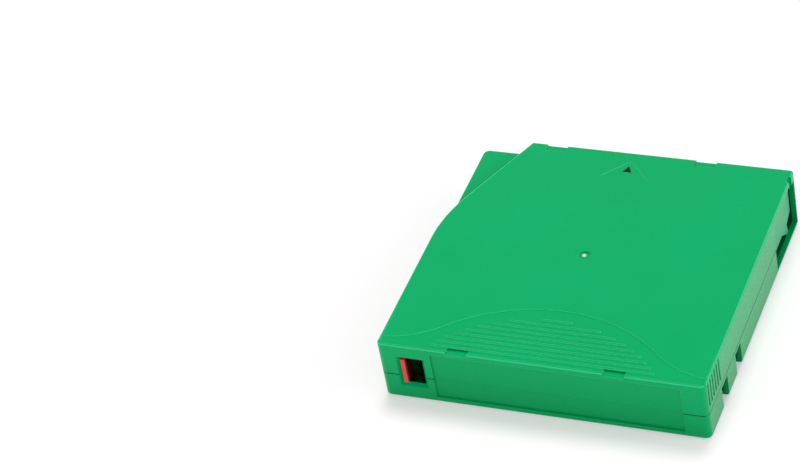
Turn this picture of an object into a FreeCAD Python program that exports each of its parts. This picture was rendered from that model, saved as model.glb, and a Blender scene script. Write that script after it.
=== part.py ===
import FreeCAD, Part
import math
import os
import Sketcher

# Half-inch single-reel data tape cartridge, in millimetres.
# X runs across the cartridge, Y towards the end that enters the drive, Z up.
# The origin is the centre of the footprint, on the surface that it lies on.

SIZES = [
    # case
    ("case_height", 21.5, "overall height along Z"),
    ("reel_left_room", 1.7, "room between the flanges and the left wall"),
    ("reel_right_room", 4.1, "room between the flanges and the right wall, for the door"),
    ("reel_end_room", 1.2, "room between the flanges and the front and rear walls"),
    ("parting_height", 9.6, "height where the lower shell meets the upper one"),
    ("platform_height", 16.1, "height of the insertion step at the front left corner"),
    ("side_wall", 1.3, "thickness of the side walls"),
    ("floor_thickness", 1.3, "thickness of the lower shell's floor"),
    ("roof_thickness", 1.3, "thickness of the upper shell's roof"),
    ("corner_radius", 2.0, "upright corner edges, front right one apart"),
    ("door_corner_radius", 1.0, "upright corner edge at the door's end of the front"),
    ("inner_corner_radius", 0.8, "corners inside the walls"),
    ("top_edge_radius", 0.6, "rounding of the upper shell's top edges"),
    ("bottom_edge_radius", 1.0, "rounding of the lower shell's bottom edges"),
    ("seam_bevel", 0.12, "bevel on both sides of the parting line"),
    ("step_angle", 66.5, "direction of the step's straight edge, degrees from X"),
    # marks moulded into the roof
    ("notch_width", 7.0, "stacking recess along the edge"),
    ("notch_reach", 3.2, "stacking recess from the edge inwards"),
    ("notch_depth", 0.9, "depth of the stacking recesses"),
    ("notch_offset", 25.2, "stacking recess from the reel's axis"),
    ("dimple_radius", 2.1, "gate recess over the reel's axis"),
    ("dimple_depth", 0.5, "depth of the gate recess"),
    ("gate_radius", 0.9, "gate mark inside its recess"),
    ("chevron_tip", 4.0, "tip of the direction mark from the front face"),
    ("chevron_reach", 7.8, "arms of the direction mark across, from its tip"),
    ("chevron_fall", 8.4, "arms of the direction mark along Y, from its tip"),
    ("chevron_width", 0.4, "width of the direction mark's groove along Y"),
    ("chevron_depth", 0.1, "depth of the direction mark"),
    ("grip_margin", 0.9, "grip field from the rear face"),
    ("grip_depth", 0.3, "bell-shaped grip field below the roof"),
    ("grip_crest", 25.0, "bell's crest from the rear face"),
    ("bell_foot", 3.79, "lowest point of the bell's flanks from the rear face"),
    ("bell_overrun", 2.8, "that point beyond the side face"),
    ("bell_share", 0.613, "crown's share of the radii of crown and flank"),
    ("bell_margin", 0.3, "ends of the bell from the side faces"),
    ("rib_first", 3.1, "rearmost rib from the rear face"),
    ("rib_pitch", 2.12, "spacing of the grip field's ribs"),
    ("rib_width", 0.7, "width of a grip rib"),
    ("rib_margin", 4.7, "circle on which the grip ribs end, inside the crown"),
    ("rib_root", 0.15, "grip ribs sunk below their field"),
    # marks in the sides
    ("groove_count", 6.0, "finger grooves on each side"),
    ("groove_first", 2.7, "rearmost finger groove from the rear face"),
    ("groove_pitch", 2.22, "spacing of the finger grooves"),
    ("groove_radius", 0.6, "radius of a finger groove"),
    ("groove_inset", 0.15, "finger groove's centre inside the side face"),
    ("groove_base", 11.8, "height where the finger grooves start"),
    ("gripper_height", 8.3, "height of the library gripper notches"),
    ("gripper_depth", 4.3, "depth of the gripper notches"),
    ("gripper_wall", 0.9, "wall around each gripper notch"),
    ("gripper_rear_length", 6.0, "length of the rear gripper notch"),
    ("gripper_front_length", 5.7, "length of the front gripper notch"),
    ("gripper_spacing", 9.0, "between the rear notch and the front one"),
    ("gripper_reel_gap", 0.31, "front notch's wall from the flanges"),
    # rear face
    ("label_left", 17.5, "left end of the label recess from the left side"),
    ("label_right", 7.9, "right end of the label recess from the right side"),
    ("label_low", 2.2, "lower edge of the label recess"),
    ("label_high", 19.6, "upper edge of the label recess"),
    ("label_depth", 0.5, "depth of the label recess"),
    ("window_inset", 6.9, "write-protect window from the left side"),
    ("window_width", 7.3, "width of the write-protect window"),
    ("window_low", 6.2, "lower edge of the write-protect window"),
    ("window_high", 16.2, "upper edge of the write-protect window"),
    ("window_bevel", 1.0, "bevelled frame around the window"),
    # write-protect tab
    ("tab_ridge", 1.7, "width of the tab's finger ridge"),
    ("tab_side_gap", 0.25, "gap between the tab and the case"),
    ("tab_thickness", 3.0, "thickness of the tab's plate"),
    ("tab_reach", 2.6, "tab's plate beyond the window, above and below"),
    ("tab_travel", 5.4, "how far the tab slides"),
    ("tab_face_inset", 0.25, "ridge's face behind the rear face"),
    ("tab_rail", 1.0, "thickness of the rail behind the tab"),
    ("tab_rail_rise", 1.0, "top of that rail above the plate's lower edge"),
    # door
    ("door_start", 25.3, "rear end of the side opening from the front face"),
    ("door_front", 3.6, "front end of the closed door from the front face"),
    ("door_overlap", 4.0, "door behind the side wall when closed"),
    ("door_thickness", 1.2, "thickness of the door's plate"),
    ("door_wall_gap", 0.2, "gap between the door and the side wall"),
    ("door_end_gap", 0.25, "gap between the door and floor or roof"),
    ("door_skirt", 5.3, "height of the door's lower edge behind its foot"),
    ("door_foot_rear", 10.0, "where the door's lower edge starts to fall, behind its front end"),
    ("door_foot_toe", 4.8, "rear end of the door's foot, behind its front end"),
    ("door_foot_front", 3.2, "front end of the door's foot, behind its front end"),
    ("door_heel", 4.6, "front edge of the door above its foot, behind its front end"),
    ("door_nose", 7.4, "height where the door's front edge is full length"),
    ("door_lip", 1.7, "roof's edge above the opening"),
    ("corner_lip", 3.2, "roof's edge in front of the catch notch"),
    ("catch_length", 2.7, "catch notch in the roof's edge, along the side"),
    ("catch_margin", 0.2, "catch notch's front end past the door's"),
    ("catch_depth", 1.0, "depth of the catch notch"),
    ("floor_lip", 1.2, "floor's height along the opening"),
    ("rail_thickness", 0.9, "rail that guides the door's inner face"),
    ("rail_height", 4.6, "rail above the floor"),
    ("rail_drop", 2.4, "the same rail hanging from the roof"),
    ("rail_rear", 2.0, "rail behind the closed door's rear end"),
    ("rail_front", 4.0, "rail's front end behind the door's foot"),
    # door spring
    ("spring_height", 12.6, "height of the door spring's axis"),
    ("spring_radius", 1.05, "mean radius of the door spring's coils"),
    ("spring_wire", 0.16, "radius of the door spring's wire"),
    ("spring_turns", 14.0, "turns of the door spring"),
    ("spring_stop", 13.4, "door spring's rear stop from the rear face"),
    ("stop_thickness", 1.2, "thickness of the spring's rear stop"),
    ("stop_reach", 2.0, "spring's stop beyond the spring's axis, inwards and upwards"),
    ("peg_radius", 0.7, "pegs inside the door spring's ends"),
    ("peg_length", 3.0, "length of the pegs"),
    ("runner_reach", 1.2, "door's runner block behind its plate"),
    ("runner_length", 3.0, "length of the runner block"),
    ("runner_half_height", 2.0, "half the height of the runner block"),
    ("spring_side_gap", 0.1, "gap between the door spring and the door's plane"),
    ("seat_gap", 0.05, "gap between a spring and its seat"),
    # reel
    ("reel_rest_gap", 0.3, "reel above the floor"),
    ("hub_radius", 22.0, "surface that the tape is wound on"),
    ("hub_wall", 2.2, "thickness of the hub's wall"),
    ("hub_web", 1.6, "thickness of the hub's web"),
    ("web_height", 3.4, "height of the web's underside"),
    ("flange_radius", 48.5, "radius of both flanges, which the case follows"),
    ("flange_thickness", 0.8, "thickness of both flanges"),
    ("flange_height", 4.0, "height of the lower flange's upper face"),
    ("tape_width", 12.65, "width of the tape"),
    ("tape_play", 0.15, "gap between the tape and each flange"),
    ("pack_margin", 1.65, "wound tape inside the flanges"),
    ("tape_fit", 0.03, "gap between the hub and the first turn of the tape"),
    ("collar_height", 0.9, "upper flange's collar inside the hub"),
    ("collar_wall", 1.2, "thickness of the collar"),
    ("rim_width", 1.5, "width of the hub's rim"),
    ("rim_overlap", 0.5, "hub's rim outside the spindle opening"),
    ("collar_gap", 0.05, "gap around the upper flange's collar"),
    ("gear_inset", 3.4, "drive teeth inside the hub's surface"),
    ("gear_width", 3.2, "width of the ring of drive teeth"),
    ("gear_root", 0.4, "ring under the drive teeth"),
    ("tooth_depth", 1.25, "height of the drive and brake teeth"),
    ("tooth_inset", 0.15, "ends of the teeth inside the edges of their rings"),
    ("tooth_sink", 0.12, "roots of the teeth inside their rings"),
    ("gear_teeth", 40.0, "drive teeth under the hub"),
    ("gear_tooth_root", 1.8, "width of a drive tooth at its root"),
    ("gear_tooth_tip", 0.75, "width of a drive tooth at its tip"),
    ("plate_inset", 0.6, "steel drive plate inside the drive teeth"),
    ("plate_hole", 4.0, "hole in the drive plate and the web"),
    ("plate_thickness", 0.8, "thickness of the drive plate"),
    # brake and its release
    ("lock_inset", 1.9, "brake's teeth inside the drive teeth"),
    ("lock_width", 4.0, "width of the ring of brake teeth"),
    ("lock_height", 8.0, "height of the reel's locking teeth"),
    ("lock_teeth", 24.0, "teeth in the reel's and the brake's locking rings"),
    ("lock_tooth_root", 1.95, "width of a reel locking tooth at its root"),
    ("lock_tooth_tip", 0.75, "width of a reel locking tooth at its tip"),
    ("brake_tooth_root", 1.4, "width of a brake tooth at its root"),
    ("brake_tooth_tip", 0.3, "width of a brake tooth at its tip"),
    ("lock_gap", 0.2, "gap between meshed teeth"),
    ("brake_thickness", 1.2, "thickness of the brake disc"),
    ("brake_rim", 0.6, "disc outside its teeth"),
    ("brake_boss_radius", 5.2, "boss around the brake's cross slot"),
    ("brake_boss_height", 6.1, "boss above the brake disc"),
    ("cross_width", 1.4, "thickness of the cross post's ribs"),
    ("cross_span", 7.6, "span of the cross post's ribs"),
    ("cross_gap", 0.15, "gap around the cross post"),
    ("release_lift", 1.6, "how far the brake is lifted"),
    ("post_clearance", 0.4, "cross post above the lifted brake"),
    ("button_radius", 1.6, "button under the brake disc"),
    ("brake_spring_radius", 6.6, "mean radius of the brake spring"),
    ("brake_spring_wire", 0.3, "radius of the brake spring's wire"),
    ("brake_spring_turns", 4.5, "turns of the brake spring"),
    ("spring_rim", 0.9, "thickness of the rim around the brake spring's end"),
    ("spring_rim_height", 1.0, "height of that rim"),
    ("spring_rim_gap", 0.3, "gap between the rim and the spring"),
    ("spider_thickness", 1.2, "thickness of the release spider"),
    ("spider_hub", 5.0, "radius of the spider's middle"),
    ("spider_arm", 3.6, "width of the spider's arms"),
    ("spider_gap", 0.3, "gap between the spider and the web"),
    ("leg_radius", 1.3, "radius of a leg"),
    ("leg_gap", 0.25, "gap around a leg"),
    ("arm_gap", 0.4, "gap beside a spider arm"),
    ("button_gap", 0.2, "gap between the brake's button and the spider"),
    ("leg_rise", 0.3, "leg's tip above the tooth tips"),
    # leader
    ("pin_front", 9.2, "leader pin from the front face"),
    ("pin_radius", 1.2, "leader pin's shaft"),
    ("pin_end_radius", 2.4, "leader pin's flanged ends"),
    ("pin_end_height", 2.2, "height of a flanged end"),
    ("pin_gap", 0.2, "gap between the pin's ends and the case"),
    ("pin_groove_radius", 1.7, "collar between the end and the shaft"),
    ("pin_groove_height", 0.4, "height of that collar"),
    ("tape_thickness", 0.1, "leader strip, thicker than real tape"),
    ("tape_stand_off", 0.3, "gap between the strip and the wound tape"),
    ("clip_gap", 0.15, "gap between the clip and the pin's shaft"),
    ("clip_wall", 0.6, "thickness of the clip"),
    ("clip_margin", 0.5, "clip's ends inside the tape's edges"),
    ("clip_mouth", 90.0, "opening of the clip's ring, in degrees"),
    ("clip_mouth_turn", 230.0, "direction of that opening, degrees from X"),
    ("pin_seat_wall", 1.1, "thickness of the pin's seats"),
    ("pin_seat_gap", 0.35, "gap between the pin's ends and their seats"),
    ("pin_seat_height", 1.2, "height of the pin's seats"),
    ("leaf_thickness", 0.3, "thickness of the pin's leaf spring"),
    ("leaf_left", 15.5, "left end of the leaf spring from the right side"),
    ("leaf_bend", 9.3, "where the leaf's arms bend to the pin, from the right side"),
    ("leaf_wall_gap", 0.9, "leaf spring from the front wall"),
    ("leaf_arm", 1.2, "height of the leaf's arms"),
    ("leaf_end_gap", 1.4, "leaf's edges from floor and roof"),
    ("leaf_post", 1.4, "width of the posts that hold the leaf to the front wall"),
    ("leaf_post_left", 0.6, "first post from the leaf's left end"),
    ("leaf_post_pitch", 2.6, "second post from the first"),
    ("leaf_post_rise", 4.0, "posts above the parting line"),
    ("leaf_play", 0.1, "gap between the leaf and its posts"),
    ("leaf_lean", 0.66, "share of the pin's radius across, where the leaf presses"),
    # screws and their bosses
    ("screw_side", 6.7, "screws at the corners from the sides"),
    ("screw_rear_y", 8.6, "rear screws from the rear face"),
    ("screw_front_y", 5.6, "front screws from the front face"),
    ("screw_door", 19.7, "front screw beside the leader pin from the right side"),
    ("screw_radius", 0.9, "radius of a screw's shank"),
    ("screw_length", 12.0, "length of a screw under its head"),
    ("screw_head_radius", 1.9, "radius of a screw's head"),
    ("screw_head_height", 1.1, "height of a screw's head"),
    ("screw_sink", 0.5, "screw's head above the underside"),
    ("screw_fit", 0.02, "gap around a screw's shank"),
    ("screw_end_gap", 0.4, "hole beyond a screw's end"),
    ("head_gap", 0.3, "gap around a screw's head"),
    ("socket_width", 0.5, "width of the cross in a screw's head"),
    ("socket_span", 2.2, "span of the cross in a screw's head"),
    ("socket_depth", 0.6, "depth of the cross in a screw's head"),
    ("boss_radius", 2.8, "radius of the screw bosses"),
    # locating pockets in the underside
    ("pocket_radius", 2.2, "radius of both locating pockets"),
    ("pocket_depth", 5.0, "depth of the locating pockets"),
    ("pocket_wall", 1.1, "wall around the locating pockets"),
    ("pocket_right", 14.5, "round locating pocket from the right side"),
    ("pocket_left", 11.2, "long locating pocket from the left side"),
    ("pocket_front", 13.0, "both locating pockets from the front face"),
    ("pocket_slot", 2.0, "extra length of the long pocket"),
    # guide walls around the reel
    ("guide_gap", 1.0, "gap between the flanges and the guide walls"),
    ("guide_wall", 1.1, "thickness of the guide walls"),
    ("guide_right", 25.7, "where the guide walls end, from the right side"),
    ("guide_turn", 150.0, "where they end on the other side, degrees from X about the reel"),
    # memory chip board
    ("board_width", 13.5, "memory board along the rear wall"),
    ("board_height", 9.0, "memory board's sloping length"),
    ("board_thickness", 0.8, "thickness of the memory board"),
    ("board_inset", 10.7, "right end of the memory board from the right side"),
    ("board_rise", 1.0, "memory board's lower edge above the floor"),
    ("board_gap", 0.3, "gap between the board and the rear wall"),
    ("board_web", 1.2, "thickness of the webs under the board"),
]


class Length:
    """A size that carries its number and the sheet expression that gives it."""

    def __init__(self, number, text):
        self.number = number
        self.text = text

    def __add__(self, other):
        other = length(other)
        return Length(self.number + other.number, f"({self.text} + {other.text})")

    def __sub__(self, other):
        other = length(other)
        return Length(self.number - other.number, f"({self.text} - {other.text})")

    def __mul__(self, other):
        other = length(other)
        return Length(self.number * other.number, f"({self.text} * {other.text})")

    def __truediv__(self, other):
        other = length(other)
        return Length(self.number / other.number, f"({self.text} / {other.text})")

    def __neg__(self):
        return Length(-self.number, f"(0 - {self.text})")

    def __rsub__(self, other):
        return length(other) - self

    __radd__ = __add__
    __rmul__ = __mul__


def length(value):
    """A plain number becomes a Length; a Length stays as it is."""
    if isinstance(value, Length):
        return value
    return Length(float(value), f"{float(value):.6g}" if value >= 0 else f"(0 - {-float(value):.6g})")


def root(value):
    """Square root of a Length."""
    return Length(math.sqrt(value.number), f"sqrt({value.text})")


def cosine(angle):
    """Cosine of a Length that holds degrees."""
    return Length(math.cos(math.radians(angle.number)), f"cos({angle.text} * 1 deg)")


def sine(angle):
    """Sine of a Length that holds degrees."""
    return Length(math.sin(math.radians(angle.number)), f"sin({angle.text} * 1 deg)")


class Sizes:
    """The driving dimensions, each bound to its cell of the sheet."""


doc = FreeCAD.newDocument("data_tape_cartridge")
sheet = doc.addObject("Spreadsheet::Sheet", "Sizes")
size = Sizes()
for row, (alias, value, note) in enumerate(SIZES, start=1):
    sheet.set(f"A{row}", note)
    sheet.set(f"B{row}", str(value))
    sheet.setAlias(f"B{row}", alias)
doc.recompute()
for alias, value, note in SIZES:
    setattr(size, alias, Length(float(sheet.get(alias)), f"Sizes.{alias}"))

OVERLAP = 0.3
CLEAR = 1.0
WIRE_SIDES = 4
DOOR_SPRING_STEPS = 6
BRAKE_SPRING_STEPS = 12
EIGHTH_TURN = math.sqrt(0.5)
SIXTH_TURN = math.sqrt(0.75)

# Places worked out from the driving dimensions.
half_width = size.flange_radius + (size.reel_left_room + size.reel_right_room) / 2 + size.side_wall
half_length = size.flange_radius + size.reel_end_room + size.side_wall
rear = -half_length
front = half_length
right = half_width
left = -half_width
top = size.case_height
seam = size.parting_height
floor = size.floor_thickness
roof = top - size.roof_thickness
inner_right = right - size.side_wall
inner_left = left + size.side_wall
inner_rear = rear + size.side_wall
inner_front = front - size.side_wall
reel_x = inner_left + size.reel_left_room + size.flange_radius
platform_roof = size.platform_height - size.roof_thickness
window_left = left + size.window_inset
window_right = window_left + size.window_width
flange_top = size.flange_height
tape_low = flange_top + size.tape_play
tape_high = tape_low + size.tape_width
upper_flange = tape_high + size.tape_play
pack_radius = size.flange_radius - size.pack_margin
guide_radius = size.flange_radius + size.guide_gap
hub_rim = size.hub_radius - size.rim_width
spindle_radius = hub_rim - size.rim_overlap
gear_outer = size.hub_radius - size.gear_inset
gear_inner = gear_outer - size.gear_width
leg_circle = gear_outer - size.gear_width / 2
lock_outer = gear_inner - size.lock_inset
lock_inner = lock_outer - size.lock_width
door_outer = inner_right - size.door_wall_gap
door_inner = door_outer - size.door_thickness
door_front = front - size.door_front
door_start = front - size.door_start
door_rear = door_start - size.door_overlap
door_toe = door_front - size.door_foot_toe
catch_front = door_front + size.catch_margin
spring_x = door_outer - size.spring_radius - size.spring_wire - size.spring_side_gap
stop_front = rear + size.spring_stop + size.stop_thickness
brake_low = size.lock_height + size.lock_gap
brake_high = brake_low + size.brake_thickness
spider_low = size.web_height + size.hub_web + size.spider_gap
spider_high = spider_low + size.spider_thickness
gear_tip = size.web_height - size.gear_root - size.tooth_depth
strip_x = reel_x + pack_radius + size.tape_stand_off + size.tape_thickness / 2
pin_x = strip_x + size.clip_gap / 2 + size.pin_radius
pin_y = front - size.pin_front
board_left = right - size.board_inset - size.board_width
screws = {
    "case_screw_rear_left": (left + size.screw_side, rear + size.screw_rear_y),
    "case_screw_rear_right": (right - size.screw_side, rear + size.screw_rear_y),
    "case_screw_front_left": (left + size.screw_side, front - size.screw_front_y),
    "case_screw_front_right": (right - size.screw_door, front - size.screw_front_y),
}
nodes = []


def vector(x, y, z=0.0):
    """A point from numbers or Lengths."""
    return FreeCAD.Vector(length(x).number, length(y).number, length(z).number)


class Profile:
    """A sketch whose corners, centres and radii are bound to the sheet."""

    def __init__(self, body, name, plane, offset):
        self.sketch = body.newObject("Sketcher::SketchObject", name)
        planes = [item for item in body.Origin.OriginFeatures if item.Role == plane]
        self.sketch.AttachmentSupport = (planes[0], [""])
        self.sketch.MapMode = "FlatFace"
        self.sketch.setExpression("AttachmentOffset.Base.z", length(offset).text)

    def line(self, start, end):
        """Add a straight line and return its number."""
        return self.sketch.addGeometry(Part.LineSegment(vector(*start), vector(*end)), False)

    def arc(self, centre, radius, start_angle, end_angle):
        """Add an anticlockwise arc, angles in degrees, and return its number."""
        circle = Part.Circle(vector(*centre), FreeCAD.Vector(0, 0, 1), length(radius).number)
        span = (math.radians(start_angle), math.radians(end_angle))
        return self.sketch.addGeometry(Part.ArcOfCircle(circle, *span), False)

    def bind(self, kind, geometry, point, value):
        """Hold one coordinate of a point at a sheet expression."""
        value = length(value)
        rule = Sketcher.Constraint(kind, -1, 1, geometry, point, value.number)
        number = self.sketch.addConstraint(rule)
        self.sketch.setExpression(f"Constraints[{number}]", value.text)

    def place(self, geometry, point, x, y):
        """Hold a point of a line or arc at (x, y)."""
        self.bind("DistanceX", geometry, point, x)
        self.bind("DistanceY", geometry, point, y)

    def radius(self, geometry, value):
        """Hold the radius of an arc or circle."""
        value = length(value)
        number = self.sketch.addConstraint(Sketcher.Constraint("Radius", geometry, value.number))
        self.sketch.setExpression(f"Constraints[{number}]", value.text)

    def join(self, kind, first, first_point, second, second_point):
        """Join two ends, kind being Coincident or Tangent."""
        rule = Sketcher.Constraint(kind, first, first_point, second, second_point)
        self.sketch.addConstraint(rule)

    def keep(self, kind, geometry):
        """Keep a line Horizontal or Vertical."""
        self.sketch.addConstraint(Sketcher.Constraint(kind, geometry))

    def polygon(self, corners):
        """A closed outline of straight lines through the corners."""
        count = len(corners)
        lines = [self.line(corners[i], corners[(i + 1) % count]) for i in range(count)]
        for i in range(count):
            self.join("Coincident", lines[i], 2, lines[(i + 1) % count], 1)
        for number, corner in zip(lines, corners):
            self.place(number, 1, *corner)

    def rectangle(self, x_low, y_low, x_high, y_high):
        """A rectangle between two corners."""
        self.polygon([(x_low, y_low), (x_high, y_low), (x_high, y_high), (x_low, y_high)])

    def circle(self, x, y, radius):
        """A circle."""
        shape = Part.Circle(vector(x, y), FreeCAD.Vector(0, 0, 1), length(radius).number)
        number = self.sketch.addGeometry(shape, False)
        self.place(number, 3, x, y)
        self.radius(number, radius)

    def slot(self, x, y, stretch, radius):
        """A slot along X, its two end circles stretch apart."""
        left_x = x - stretch / 2
        right_x = x + stretch / 2
        high = self.line((right_x, y + radius), (left_x, y + radius))
        low = self.line((left_x, y - radius), (right_x, y - radius))
        left_end = self.arc((left_x, y), radius, 90, 270)
        right_end = self.arc((right_x, y), radius, 270, 450)
        self.join("Tangent", high, 2, left_end, 1)
        self.join("Tangent", left_end, 2, low, 1)
        self.join("Tangent", low, 2, right_end, 1)
        self.join("Tangent", right_end, 2, high, 1)
        self.place(left_end, 3, left_x, y)
        self.place(right_end, 3, right_x, y)
        self.radius(left_end, radius)

    def rounded_rectangle(self, inset, radii):
        """The case's outline moved inwards, radii from rear left, anticlockwise."""
        x_low = left + inset
        x_high = right - inset
        y_low = rear + inset
        y_high = front - inset
        a, b, c, d = radii
        rear_line = self.line((x_low + a, y_low), (x_high - b, y_low))
        right_line = self.line((x_high, y_low + b), (x_high, y_high - c))
        front_line = self.line((x_high - c, y_high), (x_low + d, y_high))
        left_line = self.line((x_low, y_high - d), (x_low, y_low + a))
        arc_b = self.arc((x_high - b, y_low + b), b, 270, 360)
        arc_c = self.arc((x_high - c, y_high - c), c, 0, 90)
        arc_d = self.arc((x_low + d, y_high - d), d, 90, 180)
        arc_a = self.arc((x_low + a, y_low + a), a, 180, 270)
        ring = [rear_line, arc_b, right_line, arc_c, front_line, arc_d, left_line, arc_a]
        for i in range(8):
            self.join("Tangent", ring[i], 2, ring[(i + 1) % 8], 1)
        for number, radius in ((arc_a, a), (arc_b, b), (arc_c, c), (arc_d, d)):
            self.radius(number, radius)
        self.keep("Horizontal", rear_line)
        self.keep("Horizontal", front_line)
        self.keep("Vertical", right_line)
        self.keep("Vertical", left_line)
        self.bind("DistanceY", rear_line, 1, y_low)
        self.bind("DistanceX", right_line, 1, x_high)
        self.bind("DistanceY", front_line, 1, y_high)
        self.bind("DistanceX", left_line, 1, x_low)

    def stepped_outline(self, inset, radii):
        """The raised roof's outline: a rectangle whose front left corner gives way to
        an arc about the reel's axis, tangent to the left side, and a line tangent to it."""
        x_low = left + inset
        x_high = right - inset
        y_low = rear + inset
        y_high = front - inset
        a, b, c = radii
        sweep = reel_x - x_low
        angle = math.radians(size.step_angle.number)
        touch = vector(reel_x - sweep * math.sin(angle), sweep * math.cos(angle))
        climb = (y_high.number - touch.y) / math.tan(angle)
        rear_line = self.line((x_low + a, y_low), (x_high - b, y_low))
        right_line = self.line((x_high, y_low + b), (x_high, y_high - c))
        front_line = self.line((x_high - c, y_high), (touch.x + climb, y_high))
        slope_line = self.line((touch.x + climb, y_high), (touch.x, touch.y))
        left_line = self.line((x_low, 0), (x_low, y_low + a))
        arc_b = self.arc((x_high - b, y_low + b), b, 270, 360)
        arc_c = self.arc((x_high - c, y_high - c), c, 0, 90)
        shoulder = self.arc((reel_x, 0), sweep, size.step_angle.number + 90, 180)
        arc_a = self.arc((x_low + a, y_low + a), a, 180, 270)
        self.join("Tangent", rear_line, 2, arc_b, 1)
        self.join("Tangent", arc_b, 2, right_line, 1)
        self.join("Tangent", right_line, 2, arc_c, 1)
        self.join("Tangent", arc_c, 2, front_line, 1)
        self.join("Coincident", front_line, 2, slope_line, 1)
        self.join("Tangent", slope_line, 2, shoulder, 1)
        self.join("Tangent", shoulder, 2, left_line, 1)
        self.join("Tangent", left_line, 2, arc_a, 1)
        self.join("Tangent", arc_a, 2, rear_line, 1)
        for number, radius in ((arc_a, a), (arc_b, b), (arc_c, c)):
            self.radius(number, radius)
        self.keep("Horizontal", rear_line)
        self.keep("Horizontal", front_line)
        self.keep("Vertical", right_line)
        self.keep("Vertical", left_line)
        self.bind("DistanceY", rear_line, 1, y_low)
        self.bind("DistanceX", right_line, 1, x_high)
        self.bind("DistanceY", front_line, 1, y_high)
        self.bind("DistanceX", left_line, 1, x_low)
        self.place(shoulder, 3, reel_x, 0)
        self.direction(slope_line, 180 + size.step_angle)

    def direction(self, geometry, angle):
        """Hold a line's direction, a Length in degrees."""
        rule = Sketcher.Constraint("Angle", geometry, math.radians(angle.number))
        number = self.sketch.addConstraint(rule)
        self.sketch.setExpression(f"Constraints[{number}]", f"{angle.text} * 1 deg")


def new_body(label):
    """A PartDesign body that becomes the node of that name."""
    body = doc.addObject("PartDesign::Body", label)
    body.Label = label
    nodes.append(body)
    return body


def grow(body, name, low, high, draw, plane="XY_Plane"):
    """Pad a profile from height low to height high."""
    profile = Profile(body, f"{name}_profile", plane, low)
    draw(profile)
    pad = body.newObject("PartDesign::Pad", name)
    pad.Profile = profile.sketch
    pad.setExpression("Length", (length(high) - length(low)).text)
    profile.sketch.Visibility = False
    return pad


def cut(body, name, low, high, draw, plane="XY_Plane"):
    """Pocket a profile between heights low and high."""
    profile = Profile(body, f"{name}_profile", plane, high)
    draw(profile)
    pocket = body.newObject("PartDesign::Pocket", name)
    pocket.Profile = profile.sketch
    pocket.setExpression("Length", (length(high) - length(low)).text)
    profile.sketch.Visibility = False
    return pocket


def round_edges(body, name, kind, value, test):
    """Fillet or chamfer the edges of the body's tip that pass the test."""
    doc.recompute()
    base = body.Tip
    names = []
    for number, edge in enumerate(base.Shape.Edges, start=1):
        span = edge.ParameterRange
        points = [edge.valueAt(span[0] + (span[1] - span[0]) * share) for share in (0, 0.5, 1)]
        if all(test(point) for point in points):
            names.append(f"Edge{number}")
    feature = body.newObject(f"PartDesign::{kind}", name)
    feature.Base = (base, names)
    feature.setExpression("Radius" if kind == "Fillet" else "Size", length(value).text)
    return feature


def at_height(height):
    """A test for edges that lie at one height."""
    return lambda point: abs(point.z - length(height).number) < 1e-4


def beside_window(point):
    """Whether a point lies on the window's outline in the rear face, its right edge apart."""
    across = window_left.number - 1e-4 < point.x < window_right.number + 1e-4
    up = size.window_low.number - 1e-4 < point.z < size.window_high.number + 1e-4
    at_seam = abs(point.z - seam.number) < 1e-4
    on_right_edge = at_seam and abs(point.x - window_right.number) < 1e-4
    return abs(point.y - rear.number) < 1e-4 and across and up and not on_right_edge


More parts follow.
